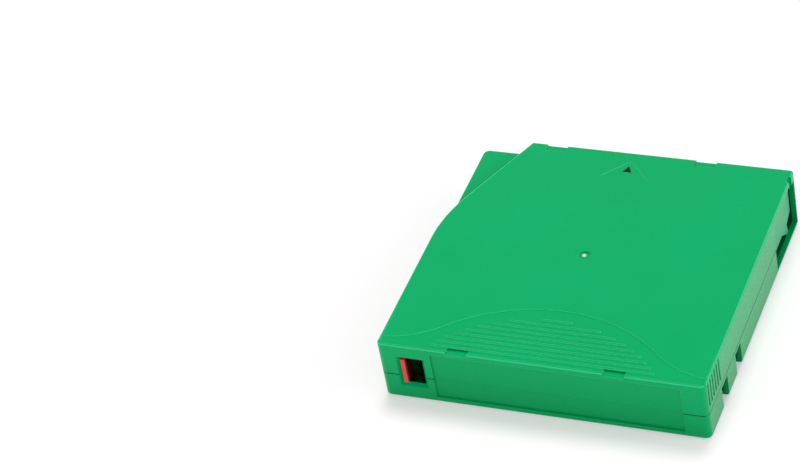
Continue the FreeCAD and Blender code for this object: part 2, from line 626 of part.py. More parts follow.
# ---------------------------------------------------------------- upper shell
def build_upper_shell():
    """Roof half of the case, with the insertion step, grip field and brake post."""
    body = new_body("upper_shell")
    outer = (size.corner_radius, size.corner_radius, size.door_corner_radius, size.corner_radius)
    inner = (size.inner_corner_radius,) * 4
    overlap = size.top_edge_radius * 2
    grow(body, "wall_block", seam, size.platform_height,
         lambda draw: draw.rounded_rectangle(length(0), outer))
    round_edges(body, "platform_edge", "Fillet", size.top_edge_radius, at_height(size.platform_height))
    round_edges(body, "seam_edge", "Chamfer", size.seam_bevel, at_height(seam))
    grow(body, "raised_block", size.platform_height - overlap, top,
         lambda draw: draw.stepped_outline(length(0), outer[:3]))
    round_edges(body, "roof_edge", "Fillet", size.top_edge_radius, at_height(top))
    cut(body, "wall_cavity", seam, platform_roof,
        lambda draw: draw.rounded_rectangle(size.side_wall, inner))
    cut(body, "roof_cavity", platform_roof - OVERLAP, roof,
        lambda draw: draw.stepped_outline(size.side_wall, inner[:3]))
    cut(body, "stacking_notches", top - size.notch_depth, top, draw_stacking_notches)
    cut(body, "grip_field", top - size.grip_depth, top, draw_bell)
    grow(body, "grip_ribs", top - size.grip_depth - size.rib_root, top, draw_grip_ribs)
    cut(body, "gate_recess", top - size.dimple_depth, top, draw_gate_recess)
    cut(body, "direction_mark", top - size.chevron_depth, top, draw_chevron)
    cut(body, "finger_grooves", size.groove_base, top, draw_finger_grooves)
    cut(body, "label_recess", seam, size.label_high,
        lambda draw: draw_label_recess(draw, rear))
    cut(body, "window", seam, size.window_high, draw_window)
    round_edges(body, "window_bevel", "Chamfer", size.window_bevel, beside_window)
    cut(body, "side_opening", seam, top - size.door_lip,
        lambda draw: draw_side_opening(draw, catch_front))
    cut(body, "corner_opening", seam, top - size.corner_lip,
        lambda draw: draw_side_opening(draw, inner_front))
    cut(body, "catch_notch", seam, top,
        lambda draw: draw.rectangle(right - size.catch_depth, catch_front - size.catch_length,
                                    right + CLEAR, catch_front))
    grow(body, "guide_walls", seam, roof, draw_guide_walls)
    grow(body, "screw_posts", seam, platform_roof, draw_screw_posts)
    grow(body, "screw_posts_above", platform_roof - OVERLAP, roof, draw_screw_posts_above)
    cut(body, "screw_pilots", seam,
        size.screw_sink + size.screw_head_height + size.screw_length + size.screw_end_gap,
        lambda draw: draw_screw_circles(draw, size.screw_radius + size.screw_fit))
    post_low = brake_high + size.release_lift + size.post_clearance
    grow(body, "brake_post", post_low, roof, draw_brake_post)
    grow(body, "brake_spring_rim", roof - size.spring_rim_height, roof, draw_spring_rim)
    grow(body, "pin_seat", roof - size.pin_seat_height, roof, draw_pin_seat)
    grow(body, "door_rail_above", roof - size.rail_drop, roof, draw_door_rail)


def draw_stacking_notches(draw):
    """Four shallow recesses at the front and rear edges."""
    for sign in (-1, 1):
        middle = reel_x + size.notch_offset * sign
        low = middle - size.notch_width / 2
        high = middle + size.notch_width / 2
        draw.rectangle(low, rear - CLEAR, high, rear + size.notch_reach)
        draw.rectangle(low, front - size.notch_reach, high, front + CLEAR)


def bell_crown():
    """Radius of the bell's crown and the Y of its centre; crown and flank arcs together
    span from the crest to the flank's foot, tangent to each other."""
    rise = size.grip_crest - size.bell_foot
    reach = right + size.bell_overrun
    both = (reach * reach + rise * rise) / (2 * rise)
    crown = both * size.bell_share
    return crown, rear + size.grip_crest - crown, both - crown


def draw_bell(draw):
    """Bell-shaped grip field: a crown arc and two flank arcs tangent to it."""
    crown_radius, crown_y, flank_radius = bell_crown()
    flank_x = right + size.bell_overrun
    flank_y = rear + size.bell_foot + flank_radius
    end_x = right - size.bell_margin
    turn = math.degrees(math.atan2((flank_y - crown_y).number, flank_x.number))
    drop = math.sqrt(flank_radius.number ** 2 - (flank_x - end_x).number ** 2)
    start = math.degrees(math.atan2(-drop, (end_x - flank_x).number)) % 360
    low = rear + size.grip_margin
    crown = draw.arc((0, crown_y), crown_radius, turn, 180 - turn)
    right_flank = draw.arc((flank_x, flank_y), flank_radius, 180 + turn, start)
    left_flank = draw.arc((-flank_x, flank_y), flank_radius, 540 - start, 360 - turn)
    end_y = flank_y.number - drop
    right_edge = draw.line((end_x, low), (end_x, end_y))
    left_edge = draw.line((-end_x, end_y), (-end_x, low))
    rear_edge = draw.line((-end_x, low), (end_x, low))
    draw.join("Tangent", crown, 1, right_flank, 1)
    draw.join("Tangent", crown, 2, left_flank, 2)
    draw.join("Coincident", right_flank, 2, right_edge, 2)
    draw.join("Coincident", left_flank, 1, left_edge, 1)
    draw.join("Coincident", left_edge, 2, rear_edge, 1)
    draw.join("Coincident", rear_edge, 2, right_edge, 1)
    draw.place(crown, 3, 0, crown_y)
    draw.radius(crown, crown_radius)
    draw.place(right_flank, 3, flank_x, flank_y)
    draw.place(left_flank, 3, -flank_x, flank_y)
    draw.keep("Vertical", right_edge)
    draw.keep("Vertical", left_edge)
    draw.place(rear_edge, 1, -end_x, low)
    draw.place(rear_edge, 2, end_x, low)


def draw_grip_ribs(draw):
    """As many ribs as the grip field holds, their ends on a circle about the crown's centre."""
    crown_radius, crown_y, _ = bell_crown()
    circle = crown_radius - size.rib_margin
    room = crown_y + circle - rear - size.rib_first
    for number in range(math.floor((room / size.rib_pitch).number) + 1):
        y = rear + size.rib_first + size.rib_pitch * number
        rise = y - crown_y
        reach = root(circle * circle - rise * rise)
        draw.rectangle(-reach, y - size.rib_width / 2, reach, y + size.rib_width / 2)


def draw_gate_recess(draw):
    """Ring-shaped recess around the gate mark."""
    draw.circle(reel_x, 0, size.dimple_radius)
    draw.circle(reel_x, 0, size.gate_radius)


def draw_chevron(draw):
    """Fine groove that points to the end that enters the drive."""
    tip = front - size.chevron_tip
    end = tip - size.chevron_fall
    reach = size.chevron_reach
    width = size.chevron_width
    draw.polygon([
        (0, tip), (-reach, end), (-reach, end - width),
        (0, tip - width), (reach, end - width), (reach, end),
    ])


def draw_finger_grooves(draw):
    """Upright round grooves in both sides near the rear corners."""
    for number in range(round(size.groove_count.number)):
        y = rear + size.groove_first + size.groove_pitch * number
        draw.circle(right - size.groove_inset, y, size.groove_radius)
        draw.circle(left + size.groove_inset, y, size.groove_radius)


def draw_label_recess(draw, y_low):
    """Recess for a label in the rear face, cut from y_low inwards."""
    draw.rectangle(left + size.label_left, y_low, right - size.label_right, rear + size.label_depth)


def draw_window(draw):
    """Write-protect window through the rear wall."""
    draw.rectangle(window_left, rear - CLEAR, window_right, inner_rear + OVERLAP)


def draw_side_opening(draw, y_high):
    """Opening in the right side for the leader, as far as y_high."""
    draw.rectangle(inner_right - OVERLAP, door_start, right + CLEAR, y_high)


def draw_guide_walls(draw):
    """Two arcs of wall around the reel, open towards the door's side."""
    inner = guide_radius
    outer = guide_radius + size.guide_wall
    x_end = right - size.guide_right
    reach = x_end - reel_x
    turn = size.guide_turn.number
    across = cosine(size.guide_turn)
    along = sine(size.guide_turn)
    for sign in (1, -1):
        stop = math.degrees(math.acos(reach.number / inner.number))
        far = math.degrees(math.acos(reach.number / outer.number))
        if sign > 0:
            inside = draw.arc((reel_x, 0), inner, stop, turn)
            outside = draw.arc((reel_x, 0), outer, far, turn)
            near, away = 1, 2
        else:
            inside = draw.arc((reel_x, 0), inner, 360 - turn, 360 - stop)
            outside = draw.arc((reel_x, 0), outer, 360 - turn, 360 - far)
            near, away = 2, 1
        end_in = (reel_x + inner * across, inner * along * sign)
        end_out = (reel_x + outer * across, outer * along * sign)
        rise_in = root(inner * inner - reach * reach) * sign
        rise_out = root(outer * outer - reach * reach) * sign
        closing = draw.line((x_end, rise_in), (x_end, rise_out))
        ending = draw.line(end_in, end_out)
        draw.join("Coincident", inside, near, closing, 1)
        draw.join("Coincident", outside, near, closing, 2)
        draw.join("Coincident", inside, away, ending, 1)
        draw.join("Coincident", outside, away, ending, 2)
        draw.place(inside, 3, reel_x, 0)
        draw.join("Coincident", outside, 3, inside, 3)
        draw.radius(inside, inner)
        draw.radius(outside, outer)
        draw.keep("Vertical", closing)
        draw.bind("DistanceX", closing, 1, x_end)
        draw.bind("DistanceX", ending, 1, end_in[0])
        draw.bind("DistanceX", ending, 2, end_out[0])


def draw_screw_posts(draw):
    """Round posts over all four screws."""
    draw_screw_circles(draw, size.boss_radius)


def draw_screw_posts_above(draw):
    """The posts under the raised roof."""
    for name in ("case_screw_rear_left", "case_screw_rear_right", "case_screw_front_right"):
        draw.circle(*screws[name], size.boss_radius)


def draw_screw_circles(draw, radius):
    """A circle of one radius at every screw."""
    for place in screws.values():
        draw.circle(*place, radius)


def draw_cross(draw, span, width, x):
    """A cross about (x, 0)."""
    far = span / 2
    near = width / 2
    draw.polygon([
        (x - far, -near), (x - near, -near), (x - near, -far),
        (x + near, -far), (x + near, -near), (x + far, -near),
        (x + far, near), (x + near, near), (x + near, far),
        (x - near, far), (x - near, near), (x - far, near),
    ])


def draw_brake_post(draw):
    """Cross post that keeps the brake from turning."""
    draw_cross(draw, size.cross_span, size.cross_width, reel_x)


def draw_spring_rim(draw):
    """Ring on the roof around the brake spring's end."""
    inner = size.brake_spring_radius + size.brake_spring_wire + size.spring_rim_gap
    draw.circle(reel_x, 0, inner)
    draw.circle(reel_x, 0, inner + size.spring_rim)


def draw_pin_seat(draw):
    """Horseshoe around the leader pin's end, open towards the door."""
    inner = size.pin_end_radius + size.pin_seat_gap
    outer = inner + size.pin_seat_wall
    inside = draw.arc((pin_x, pin_y), inner, 90, 270)
    outside = draw.arc((pin_x, pin_y), outer, 90, 270)
    front_cap = draw.line((pin_x, pin_y + inner), (pin_x, pin_y + outer))
    rear_cap = draw.line((pin_x, pin_y - inner), (pin_x, pin_y - outer))
    draw.join("Coincident", inside, 1, front_cap, 1)
    draw.join("Coincident", outside, 1, front_cap, 2)
    draw.join("Coincident", inside, 2, rear_cap, 1)
    draw.join("Coincident", outside, 2, rear_cap, 2)
    draw.place(inside, 3, pin_x, pin_y)
    draw.join("Coincident", outside, 3, inside, 3)
    draw.radius(inside, inner)
    draw.radius(outside, outer)
    draw.keep("Vertical", front_cap)
    draw.keep("Vertical", rear_cap)
    draw.bind("DistanceX", front_cap, 1, pin_x)
    draw.bind("DistanceX", rear_cap, 1, pin_x)


# ---------------------------------------------------------------- lower shell
def build_lower_shell():
    """Floor half of the case, with the spindle opening, notches, guides and bosses."""
    body = new_body("lower_shell")
    outer = (size.corner_radius, size.corner_radius, size.door_corner_radius, size.corner_radius)
    inner = (size.inner_corner_radius,) * 4
    grow(body, "floor_block", 0, seam, lambda draw: draw.rounded_rectangle(length(0), outer))
    round_edges(body, "bottom_edge", "Fillet", size.bottom_edge_radius, at_height(0))
    round_edges(body, "seam_edge_below", "Chamfer", size.seam_bevel, at_height(seam))
    cut(body, "tray", floor, seam, lambda draw: draw.rounded_rectangle(size.side_wall, inner))
    grow(body, "gripper_pockets", floor - OVERLAP, size.gripper_height + size.gripper_wall, draw_gripper_walls)
    cut(body, "gripper_notches", -CLEAR, size.gripper_height, draw_gripper_notches)
    cut(body, "spindle_opening", -CLEAR, floor, lambda draw: draw.circle(reel_x, 0, spindle_radius))
    cut(body, "label_recess_below", size.label_low, seam,
        lambda draw: draw_label_recess(draw, rear - CLEAR))
    cut(body, "window_below", size.window_low, seam, draw_window)
    round_edges(body, "window_bevel_below", "Chamfer", size.window_bevel, beside_window)
    cut(body, "side_opening_below", size.floor_lip, seam,
        lambda draw: draw_side_opening(draw, inner_front))
    grow(body, "guide_walls_below", floor - OVERLAP, seam, draw_guide_walls)
    grow(body, "screw_bosses", floor - OVERLAP, seam, lambda draw: draw_screw_circles(draw, size.boss_radius))
    cut(body, "screw_holes", -CLEAR, seam,
        lambda draw: draw_screw_circles(draw, size.screw_radius + size.screw_fit))
    cut(body, "screw_heads", -CLEAR, size.screw_sink + size.screw_head_height,
        lambda draw: draw_screw_circles(draw, size.screw_head_radius + size.head_gap))
    grow(body, "pocket_walls", floor - OVERLAP, size.pocket_depth + size.pocket_wall,
         lambda draw: draw_pockets(draw, size.pocket_radius + size.pocket_wall))
    cut(body, "locating_pockets", -CLEAR, size.pocket_depth,
        lambda draw: draw_pockets(draw, size.pocket_radius))
    grow(body, "door_rail", floor - OVERLAP, floor + size.rail_height, draw_door_rail)
    grow(body, "spring_stop_wall", floor - OVERLAP, size.spring_height + size.stop_reach,
         draw_spring_stop)
    grow(body, "stop_peg", -stop_front - size.peg_length, OVERLAP - stop_front, draw_peg, "XZ_Plane")
    tab_low = size.window_low - size.tab_reach
    grow(body, "tab_shelf", floor - OVERLAP, tab_low - size.tab_side_gap, draw_tab_shelf)
    grow(body, "tab_back_rail", floor - OVERLAP, tab_low + size.tab_rail_rise, draw_tab_rail)
    for number in (1, 2):
        web_x = board_web_x(number)
        grow(body, f"board_web_{number}", web_x, web_x + size.board_web, draw_board_web, "YZ_Plane")
    grow(body, "pin_seat_below", floor - OVERLAP, floor + size.pin_seat_height, draw_pin_seat)
    grow(body, "leaf_posts", floor - OVERLAP, seam + size.leaf_post_rise, draw_leaf_posts)


def draw_gripper_walls(draw):
    """Blocks that hold the gripper notches, on both sides."""
    reach = size.gripper_depth + size.gripper_wall
    for start, run in gripper_runs():
        low = start - size.gripper_wall
        high = start + run + size.gripper_wall
        draw.rectangle(right - reach, low, inner_right + OVERLAP, high)
        draw.rectangle(inner_left - OVERLAP, low, left + reach, high)


def draw_gripper_notches(draw):
    """Notches open to the side and the underside."""
    for start, run in gripper_runs():
        draw.rectangle(right - size.gripper_depth, start, right + CLEAR, start + run)
        draw.rectangle(left - CLEAR, start, left + size.gripper_depth, start + run)


def gripper_runs():
    """Start and length of the gripper notches; the front one's wall just clears the flanges."""
    reach = reel_x - left - size.gripper_depth - size.gripper_wall - size.gripper_reel_gap
    wall_front = -root(size.flange_radius * size.flange_radius - reach * reach)
    front_start = wall_front - size.gripper_wall - size.gripper_front_length
    rear_start = front_start - size.gripper_spacing - size.gripper_rear_length
    return ((rear_start, size.gripper_rear_length), (front_start, size.gripper_front_length))


def draw_pockets(draw, radius):
    """The round and the long locating pocket."""
    y = front - size.pocket_front
    draw.circle(right - size.pocket_right, y, radius)
    draw.slot(left + size.pocket_left, y, size.pocket_slot, radius)


def draw_door_rail(draw):
    """Rail behind the door's lower edge, along the side opening."""
    x_high = door_inner - size.door_wall_gap
    draw.rectangle(x_high - size.rail_thickness, door_rear - size.rail_rear,
                   x_high, door_toe - size.rail_front)


def draw_spring_stop(draw):
    """Wall that the door spring pushes against."""
    low = rear + size.spring_stop
    draw.rectangle(spring_x - size.stop_reach, low, inner_right, low + size.stop_thickness)


def tab_span():
    """Left end, right end, rear and front of the write-protect tab's plate."""
    plate_rear = inner_rear + size.tab_side_gap
    plate_right = window_left + size.tab_ridge
    plate_left = plate_right - size.tab_ridge - size.tab_travel + size.tab_side_gap
    return plate_left, plate_right, plate_rear, plate_rear + size.tab_thickness


def draw_tab_shelf(draw):
    """Shelf under the write-protect tab, as long as its travel."""
    plate_left, plate_right, _, plate_front = tab_span()
    draw.rectangle(inner_left - OVERLAP, inner_rear - OVERLAP, plate_right + size.tab_travel + CLEAR,
                   plate_front + size.tab_side_gap + size.tab_rail)


def draw_tab_rail(draw):
    """Rail behind the write-protect tab."""
    _, plate_right, _, plate_front = tab_span()
    rail_rear = plate_front + size.tab_side_gap
    draw.rectangle(inner_left - OVERLAP, rail_rear, plate_right + size.tab_travel + CLEAR,
                   rail_rear + size.tab_rail)


def board_web_x(number):
    """Left face of one of the two webs under the memory board."""
    if number == 1:
        return board_left + size.board_web
    return board_left + size.board_width - size.board_web * 2


def board_corner():
    """Lower edge of the board's upper face, as (y, z); the board rises at 45 degrees."""
    reach = (size.board_height + size.board_thickness) * EIGHTH_TURN
    return inner_rear + size.board_gap + reach, floor + size.board_rise


def draw_board_web(draw):
    """Triangular web whose slope carries the memory board."""
    y_low = inner_rear - OVERLAP
    z_low = floor - OVERLAP
    corner_y, corner_z = board_corner()
    slope = corner_y + corner_z - (size.board_thickness + size.seat_gap) / EIGHTH_TURN
    draw.polygon([(y_low, z_low), (slope - z_low, z_low), (y_low, slope - y_low)])


def draw_leaf_posts(draw):
    """Two posts that clamp the leaf spring against the front wall's ribs."""
    back = inner_front - size.leaf_wall_gap
    near = back - size.leaf_thickness
    first = right - size.leaf_left + size.leaf_post_left
    for x in (first, first + size.leaf_post_pitch):
        draw.rectangle(x, near - size.leaf_play - size.leaf_post, x + size.leaf_post, near - size.leaf_play)
        draw.rectangle(x, back + size.leaf_play, x + size.leaf_post, inner_front)


# ---------------------------------------------------------------- door
def build_sliding_door():
    """Door plate with its foot, runner and spring peg, drawn across its thickness."""
    body = new_body("sliding_door")
    low = floor + size.door_end_gap
    high = roof - size.door_end_gap

    def outline(draw):
        """The plate seen from the side, Y to the right and Z up."""
        draw.polygon([
            (door_rear, size.door_skirt), (door_front - size.door_foot_rear, size.door_skirt),
            (door_toe, low), (door_front - size.door_foot_front, low),
            (door_front - size.door_heel, size.door_skirt), (door_front, size.door_nose),
            (door_front, high), (door_rear, high),
        ])

    def runner(draw):
        """Block behind the plate that carries the spring peg."""
        low_edge = size.spring_height - size.runner_half_height
        high_edge = size.spring_height + size.runner_half_height
        draw.rectangle(door_rear, low_edge, door_rear + size.runner_length, high_edge)

    grow(body, "plate", door_inner, door_outer, outline, "YZ_Plane")
    grow(body, "runner_block", door_inner - size.runner_reach, door_inner + OVERLAP, runner, "YZ_Plane")
    grow(body, "peg", -door_rear, size.peg_length - door_rear, draw_peg, "XZ_Plane")
    return body


def draw_peg(draw):
    """Peg inside one end of the door spring."""
    draw.circle(spring_x, size.spring_height, size.peg_radius)


# ---------------------------------------------------------------- springs
def coil_section(radius, wire, lead, angle, height):
    """Corners of a coil's wire where it has turned by an angle; lead is its rise per radian."""
    outward = FreeCAD.Vector(math.cos(angle), math.sin(angle), 0)
    along = FreeCAD.Vector(-radius * math.sin(angle), radius * math.cos(angle), lead).normalize()
    upward = along.cross(outward)
    middle = outward * radius + FreeCAD.Vector(0, 0, height)
    corners = []
    for side in range(WIRE_SIDES):
        turn = math.tau * side / WIRE_SIDES
        corners.append(middle + outward * (wire * math.cos(turn)) + upward * (wire * math.sin(turn)))
    return corners


def build_coil(label, radius, wire, turns, span, steps_per_turn, placement):
    """Coil spring of faceted wire about its placement's Z axis, span from first to last section."""
    count = round(turns.number * steps_per_turn)
    lead = span.number / (math.tau * turns.number)
    sections = []
    for step in range(count + 1):
        share = step / count
        angle = math.tau * turns.number * share
        sections.append(coil_section(radius.number, wire.number, lead, angle, span.number * share))
    faces = [Part.Face(Part.makePolygon(ends + ends[:1])) for ends in (sections[0], sections[-1])]
    for low, high in zip(sections, sections[1:]):
        for side in range(WIRE_SIDES):
            following = (side + 1) % WIRE_SIDES
            a, b, c, d = low[side], low[following], high[following], high[side]
            faces.append(Part.Face(Part.makePolygon([a, b, c, a])))
            faces.append(Part.Face(Part.makePolygon([a, c, d, a])))
    shell = Part.makeShell(faces)
    shell.sewShape()
    solid = Part.makeSolid(shell)
    if solid.Volume < 0:
        solid.reverse()
    spring = doc.addObject("Part::Feature", label)
    spring.Label = label
    spring.Shape = solid
    spring.Placement = placement
    nodes.append(spring)


def build_door_spring():
    """Long spring that pushes the door shut, along Y from its stop to the door."""
    margin = size.seat_gap + size.spring_wire
    span = door_rear - stop_front - margin * 2
    start = vector(spring_x, door_rear - margin, size.spring_height)
    lie_down = FreeCAD.Rotation(FreeCAD.Vector(1, 0, 0), 90)
    build_coil("door_spring", size.spring_radius, size.spring_wire, size.spring_turns, span,
               DOOR_SPRING_STEPS, FreeCAD.Placement(start, lie_down))


def build_brake_spring():
    """Short spring between the brake disc and the roof."""
    margin = size.seat_gap + size.brake_spring_wire
    span = roof - brake_high - margin * 2
    start = vector(reel_x, 0, brake_high + margin)
    build_coil("brake_spring", size.brake_spring_radius, size.brake_spring_wire, size.brake_spring_turns,
               span, BRAKE_SPRING_STEPS, FreeCAD.Placement(start, FreeCAD.Rotation()))


# ---------------------------------------------------------------- write-protect tab
def build_write_protect_tab():
    """Slider behind the window, with a finger ridge at one end."""
    body = new_body("write_protect_tab")
    plate_left, plate_right, plate_rear, plate_front = tab_span()
    margin = size.tab_side_gap
    grow(body, "plate", size.window_low - size.tab_reach, size.window_high + size.tab_reach,
         lambda draw: draw.rectangle(plate_left, plate_rear, plate_right, plate_front))
    grow(body, "ridge", size.window_low + margin, size.window_high - margin,
         lambda draw: draw.rectangle(window_left + margin, rear + size.tab_face_inset,
                                     plate_right, plate_rear + OVERLAP))


# ---------------------------------------------------------------- reel
def origin_feature(body, role):
    """One of the body's origin planes or axes."""
    return [item for item in body.Origin.OriginFeatures if item.Role == role][0]


def revolve(body, name, corners):
    """Turn an outline of (radius, height) corners about the body's Z axis."""
    profile = Profile(body, f"{name}_profile", "XZ_Plane", 0)
    profile.polygon(corners)
    feature = body.newObject("PartDesign::Revolution", name)
    feature.Profile = profile.sketch
    feature.ReferenceAxis = (origin_feature(body, "Z_Axis"), [""])
    feature.Angle = 360
    profile.sketch.Visibility = False
    return feature


def repeat(body, feature, count):
    """Repeat a feature around the body's Z axis."""
    pattern = body.newObject("PartDesign::PolarPattern", f"{feature.Name}_ring")
    pattern.Originals = [feature]
    pattern.Axis = (origin_feature(body, "Z_Axis"), [""])
    pattern.Angle = 360
    pattern.setExpression("Occurrences", length(count).text)
    body.Tip = pattern
    return pattern


def on_axis(body, x, y=0):
    """Stand a body's own Z axis at (x, y) of the case."""
    body.setExpression("Placement.Base.x", length(x).text)
    body.setExpression("Placement.Base.y", length(y).text)


def turn_half_pitch(body):
    """Turn a body by half a locking tooth, so that its teeth lie between the brake's."""
    body.Placement.Rotation = FreeCAD.Rotation(FreeCAD.Vector(0, 0, 1), 180 / size.lock_teeth.number)
    body.setExpression("Placement.Rotation.Angle", f"180 / {size.lock_teeth.text} * 1 deg")


def draw_tooth(root_width, tip_width, base_height, root_height, tip_height):
    """A tooth seen along its radius, its base inside the ring that carries it."""
    def draw(profile):
        profile.polygon([
            (-root_width / 2, base_height), (-root_width / 2, root_height),
            (-tip_width / 2, tip_height), (tip_width / 2, tip_height),
            (root_width / 2, root_height), (root_width / 2, base_height),
        ])
    return draw


def draw_legs(radius):
    """Three circles, one under each arm of the spider."""
    def draw(profile):
        far = leg_circle * SIXTH_TURN
        near = leg_circle / 2
        profile.circle(leg_circle, 0, radius)
        profile.circle(-near, far, radius)
        profile.circle(-near, -far, radius)
    return draw


def build_reel_hub():
    """Hub and lower flange in one moulding, with the drive teeth and locking teeth."""
    body = new_body("reel_hub")
    web_low = size.web_height
    web_high = web_low + size.hub_web
    ring_low = web_low - size.gear_root
    flange_low = flange_top - size.flange_thickness
    bore = size.hub_radius - size.hub_wall
    revolve(body, "hub", [
        (size.plate_hole, web_low), (gear_inner, web_low), (gear_inner, ring_low),
        (gear_outer, ring_low), (gear_outer, web_low), (hub_rim, web_low),
        (hub_rim, floor + size.reel_rest_gap), (size.hub_radius, floor + size.reel_rest_gap),
        (size.hub_radius, flange_low), (size.flange_radius, flange_low),
        (size.flange_radius, flange_top), (size.hub_radius, flange_top),
        (size.hub_radius, upper_flange), (bore, upper_flange), (bore, web_high),
        (size.plate_hole, web_high),
    ])
    gear_tooth = grow(body, "gear_tooth", gear_inner + size.tooth_inset,
                      gear_outer - size.tooth_inset,
                      draw_tooth(size.gear_tooth_root, size.gear_tooth_tip,
                                 ring_low + size.tooth_sink, ring_low, gear_tip), "YZ_Plane")
    repeat(body, gear_tooth, size.gear_teeth)
    lock_root = size.lock_height - size.tooth_depth

    def ring(draw):
        """Ring under the locking teeth."""
        draw.circle(0, 0, lock_outer)
        draw.circle(0, 0, lock_inner)

    grow(body, "lock_ring", web_high - OVERLAP, lock_root, ring)
    lock_tooth = grow(body, "lock_tooth", lock_inner + size.tooth_inset,
                      lock_outer - size.tooth_inset,
                      draw_tooth(size.lock_tooth_root, size.lock_tooth_tip,
                                 lock_root - size.tooth_sink, lock_root, size.lock_height), "YZ_Plane")
    repeat(body, lock_tooth, size.lock_teeth)
    gap = size.spider_arm / 2 + size.arm_gap
    arm_slot = cut(body, "arm_slot", web_high, size.lock_height + CLEAR,
                   lambda draw: draw.rectangle(size.spider_hub, -gap, lock_outer + CLEAR, gap))
    repeat(body, arm_slot, 3)
    cut(body, "leg_holes", gear_tip - CLEAR, web_high + CLEAR, draw_legs(size.leg_radius + size.leg_gap))
    on_axis(body, reel_x)
    turn_half_pitch(body)


def build_reel_upper_flange():
    """Upper flange with a collar that locates it in the hub."""
    body = new_body("reel_upper_flange")
    collar = size.hub_radius - size.hub_wall - size.collar_gap
    hole = collar - size.collar_wall
    revolve(body, "flange", [
        (hole, upper_flange - size.collar_height), (collar, upper_flange - size.collar_height),
        (collar, upper_flange), (size.flange_radius, upper_flange),
        (size.flange_radius, upper_flange + size.flange_thickness),
        (hole, upper_flange + size.flange_thickness),
    ])
    on_axis(body, reel_x)


def build_reel_drive_plate():
    """Steel washer under the hub's web that the drive's magnet holds."""
    body = new_body("reel_drive_plate")
    low = size.web_height - size.plate_thickness
    rim = gear_inner - size.plate_inset
    revolve(body, "washer", [
        (size.plate_hole, low), (rim, low), (rim, size.web_height), (size.plate_hole, size.web_height),
    ])
    on_axis(body, reel_x)


def build_tape_pack():
    """The wound tape as one ring."""
    body = new_body("tape_pack")
    bore = size.hub_radius + size.tape_fit
    revolve(body, "wound_tape", [
        (bore, tape_low), (pack_radius, tape_low),
        (pack_radius, tape_high), (bore, tape_high),
    ])
    on_axis(body, reel_x)


# ---------------------------------------------------------------- brake
def build_brake_disc():
    """Disc that locks the reel, with its ring of teeth, cross slot and button."""
    body = new_body("brake_disc")
    rim = lock_outer + size.brake_rim
    boss_top = brake_high + size.brake_boss_height
    revolve(body, "disc", [
        (0, brake_low), (rim, brake_low), (rim, brake_high), (size.brake_boss_radius, brake_high),
        (size.brake_boss_radius, boss_top), (0, boss_top),
    ])
    tip = brake_low - size.tooth_depth
    tooth = grow(body, "brake_tooth", lock_inner + size.tooth_inset,
                 lock_outer - size.tooth_inset,
                 draw_tooth(size.brake_tooth_root, size.brake_tooth_tip,
                            brake_low + size.tooth_sink, brake_low, tip), "YZ_Plane")
    repeat(body, tooth, size.lock_teeth)
    cut(body, "cross_slot", brake_high, boss_top,
        lambda draw: draw_cross(draw, size.cross_span + size.cross_gap * 2,
                                size.cross_width + size.cross_gap * 2, 0))
    grow(body, "button", spider_high + size.button_gap, brake_low + OVERLAP,
         lambda draw: draw.circle(0, 0, size.button_radius))
    on_axis(body, reel_x)


def build_clutch_release():
    """Three-armed spider whose legs reach down through the hub's web."""
    body = new_body("clutch_release")
    grow(body, "middle", spider_low, spider_high, lambda draw: draw.circle(0, 0, size.spider_hub))
    half = size.spider_arm / 2
    arm = grow(body, "arm", spider_low, spider_high,
               lambda draw: draw.rectangle(0, -half, leg_circle, half))
    repeat(body, arm, 3)
    grow(body, "feet", spider_low, spider_high, draw_legs(half))
    grow(body, "legs", gear_tip + size.leg_rise, spider_low + OVERLAP, draw_legs(size.leg_radius))
    on_axis(body, reel_x)
    turn_half_pitch(body)


# ---------------------------------------------------------------- leader
def build_leader_pin():
    """Steel pin that the drive pulls out by its flanged ends."""
    body = new_body("leader_pin")
    low = floor + size.pin_gap
    high = roof - size.pin_gap
    end = size.pin_end_height
    collar = size.pin_groove_height
    revolve(body, "pin", [
        (0, low), (size.pin_end_radius, low), (size.pin_end_radius, low + end),
        (size.pin_groove_radius, low + end), (size.pin_groove_radius, low + end + collar),
        (size.pin_radius, low + end + collar), (size.pin_radius, high - end - collar),
        (size.pin_groove_radius, high - end - collar), (size.pin_groove_radius, high - end),
        (size.pin_end_radius, high - end), (size.pin_end_radius, high), (0, high),
    ])
    on_axis(body, pin_x, pin_y)


def build_leader_clip():
    """Open ring that clamps the tape on the pin."""
    body = new_body("leader_clip")
    inner = size.pin_radius + size.clip_gap
    outer = inner + size.clip_wall

    start = size.clip_mouth_turn + size.clip_mouth / 2
    end = size.clip_mouth_turn - size.clip_mouth / 2

    def ring(draw):
        """Most of a ring, open towards the wound tape."""
        inside = draw.arc((0, 0), inner, start.number, end.number + 360)
        outside = draw.arc((0, 0), outer, start.number, end.number + 360)
        first = draw.line(polar(inner, start), polar(outer, start))
        last = draw.line(polar(inner, end), polar(outer, end))
        draw.join("Coincident", inside, 1, first, 1)
        draw.join("Coincident", outside, 1, first, 2)
        draw.join("Coincident", inside, 2, last, 1)
        draw.join("Coincident", outside, 2, last, 2)
        draw.place(inside, 3, 0, 0)
        draw.join("Coincident", outside, 3, inside, 3)
        draw.radius(inside, inner)
        draw.radius(outside, outer)
        draw.direction(first, start)
        draw.direction(last, end)

    grow(body, "ring", tape_low + size.clip_margin, tape_high - size.clip_margin, ring)
    on_axis(body, pin_x, pin_y)


def polar(radius, angle):
    """The point at a radius and an angle, a Length in degrees."""
    return radius * cosine(angle), radius * sine(angle)


def build_tape_leader():
    """Straight run of tape from the wound tape to the leader pin."""
    body = new_body("tape_leader")
    half = size.tape_thickness / 2
    grow(body, "strip", tape_low, tape_high,
         lambda draw: draw.rectangle(strip_x - half, 0, strip_x + half, pin_y))


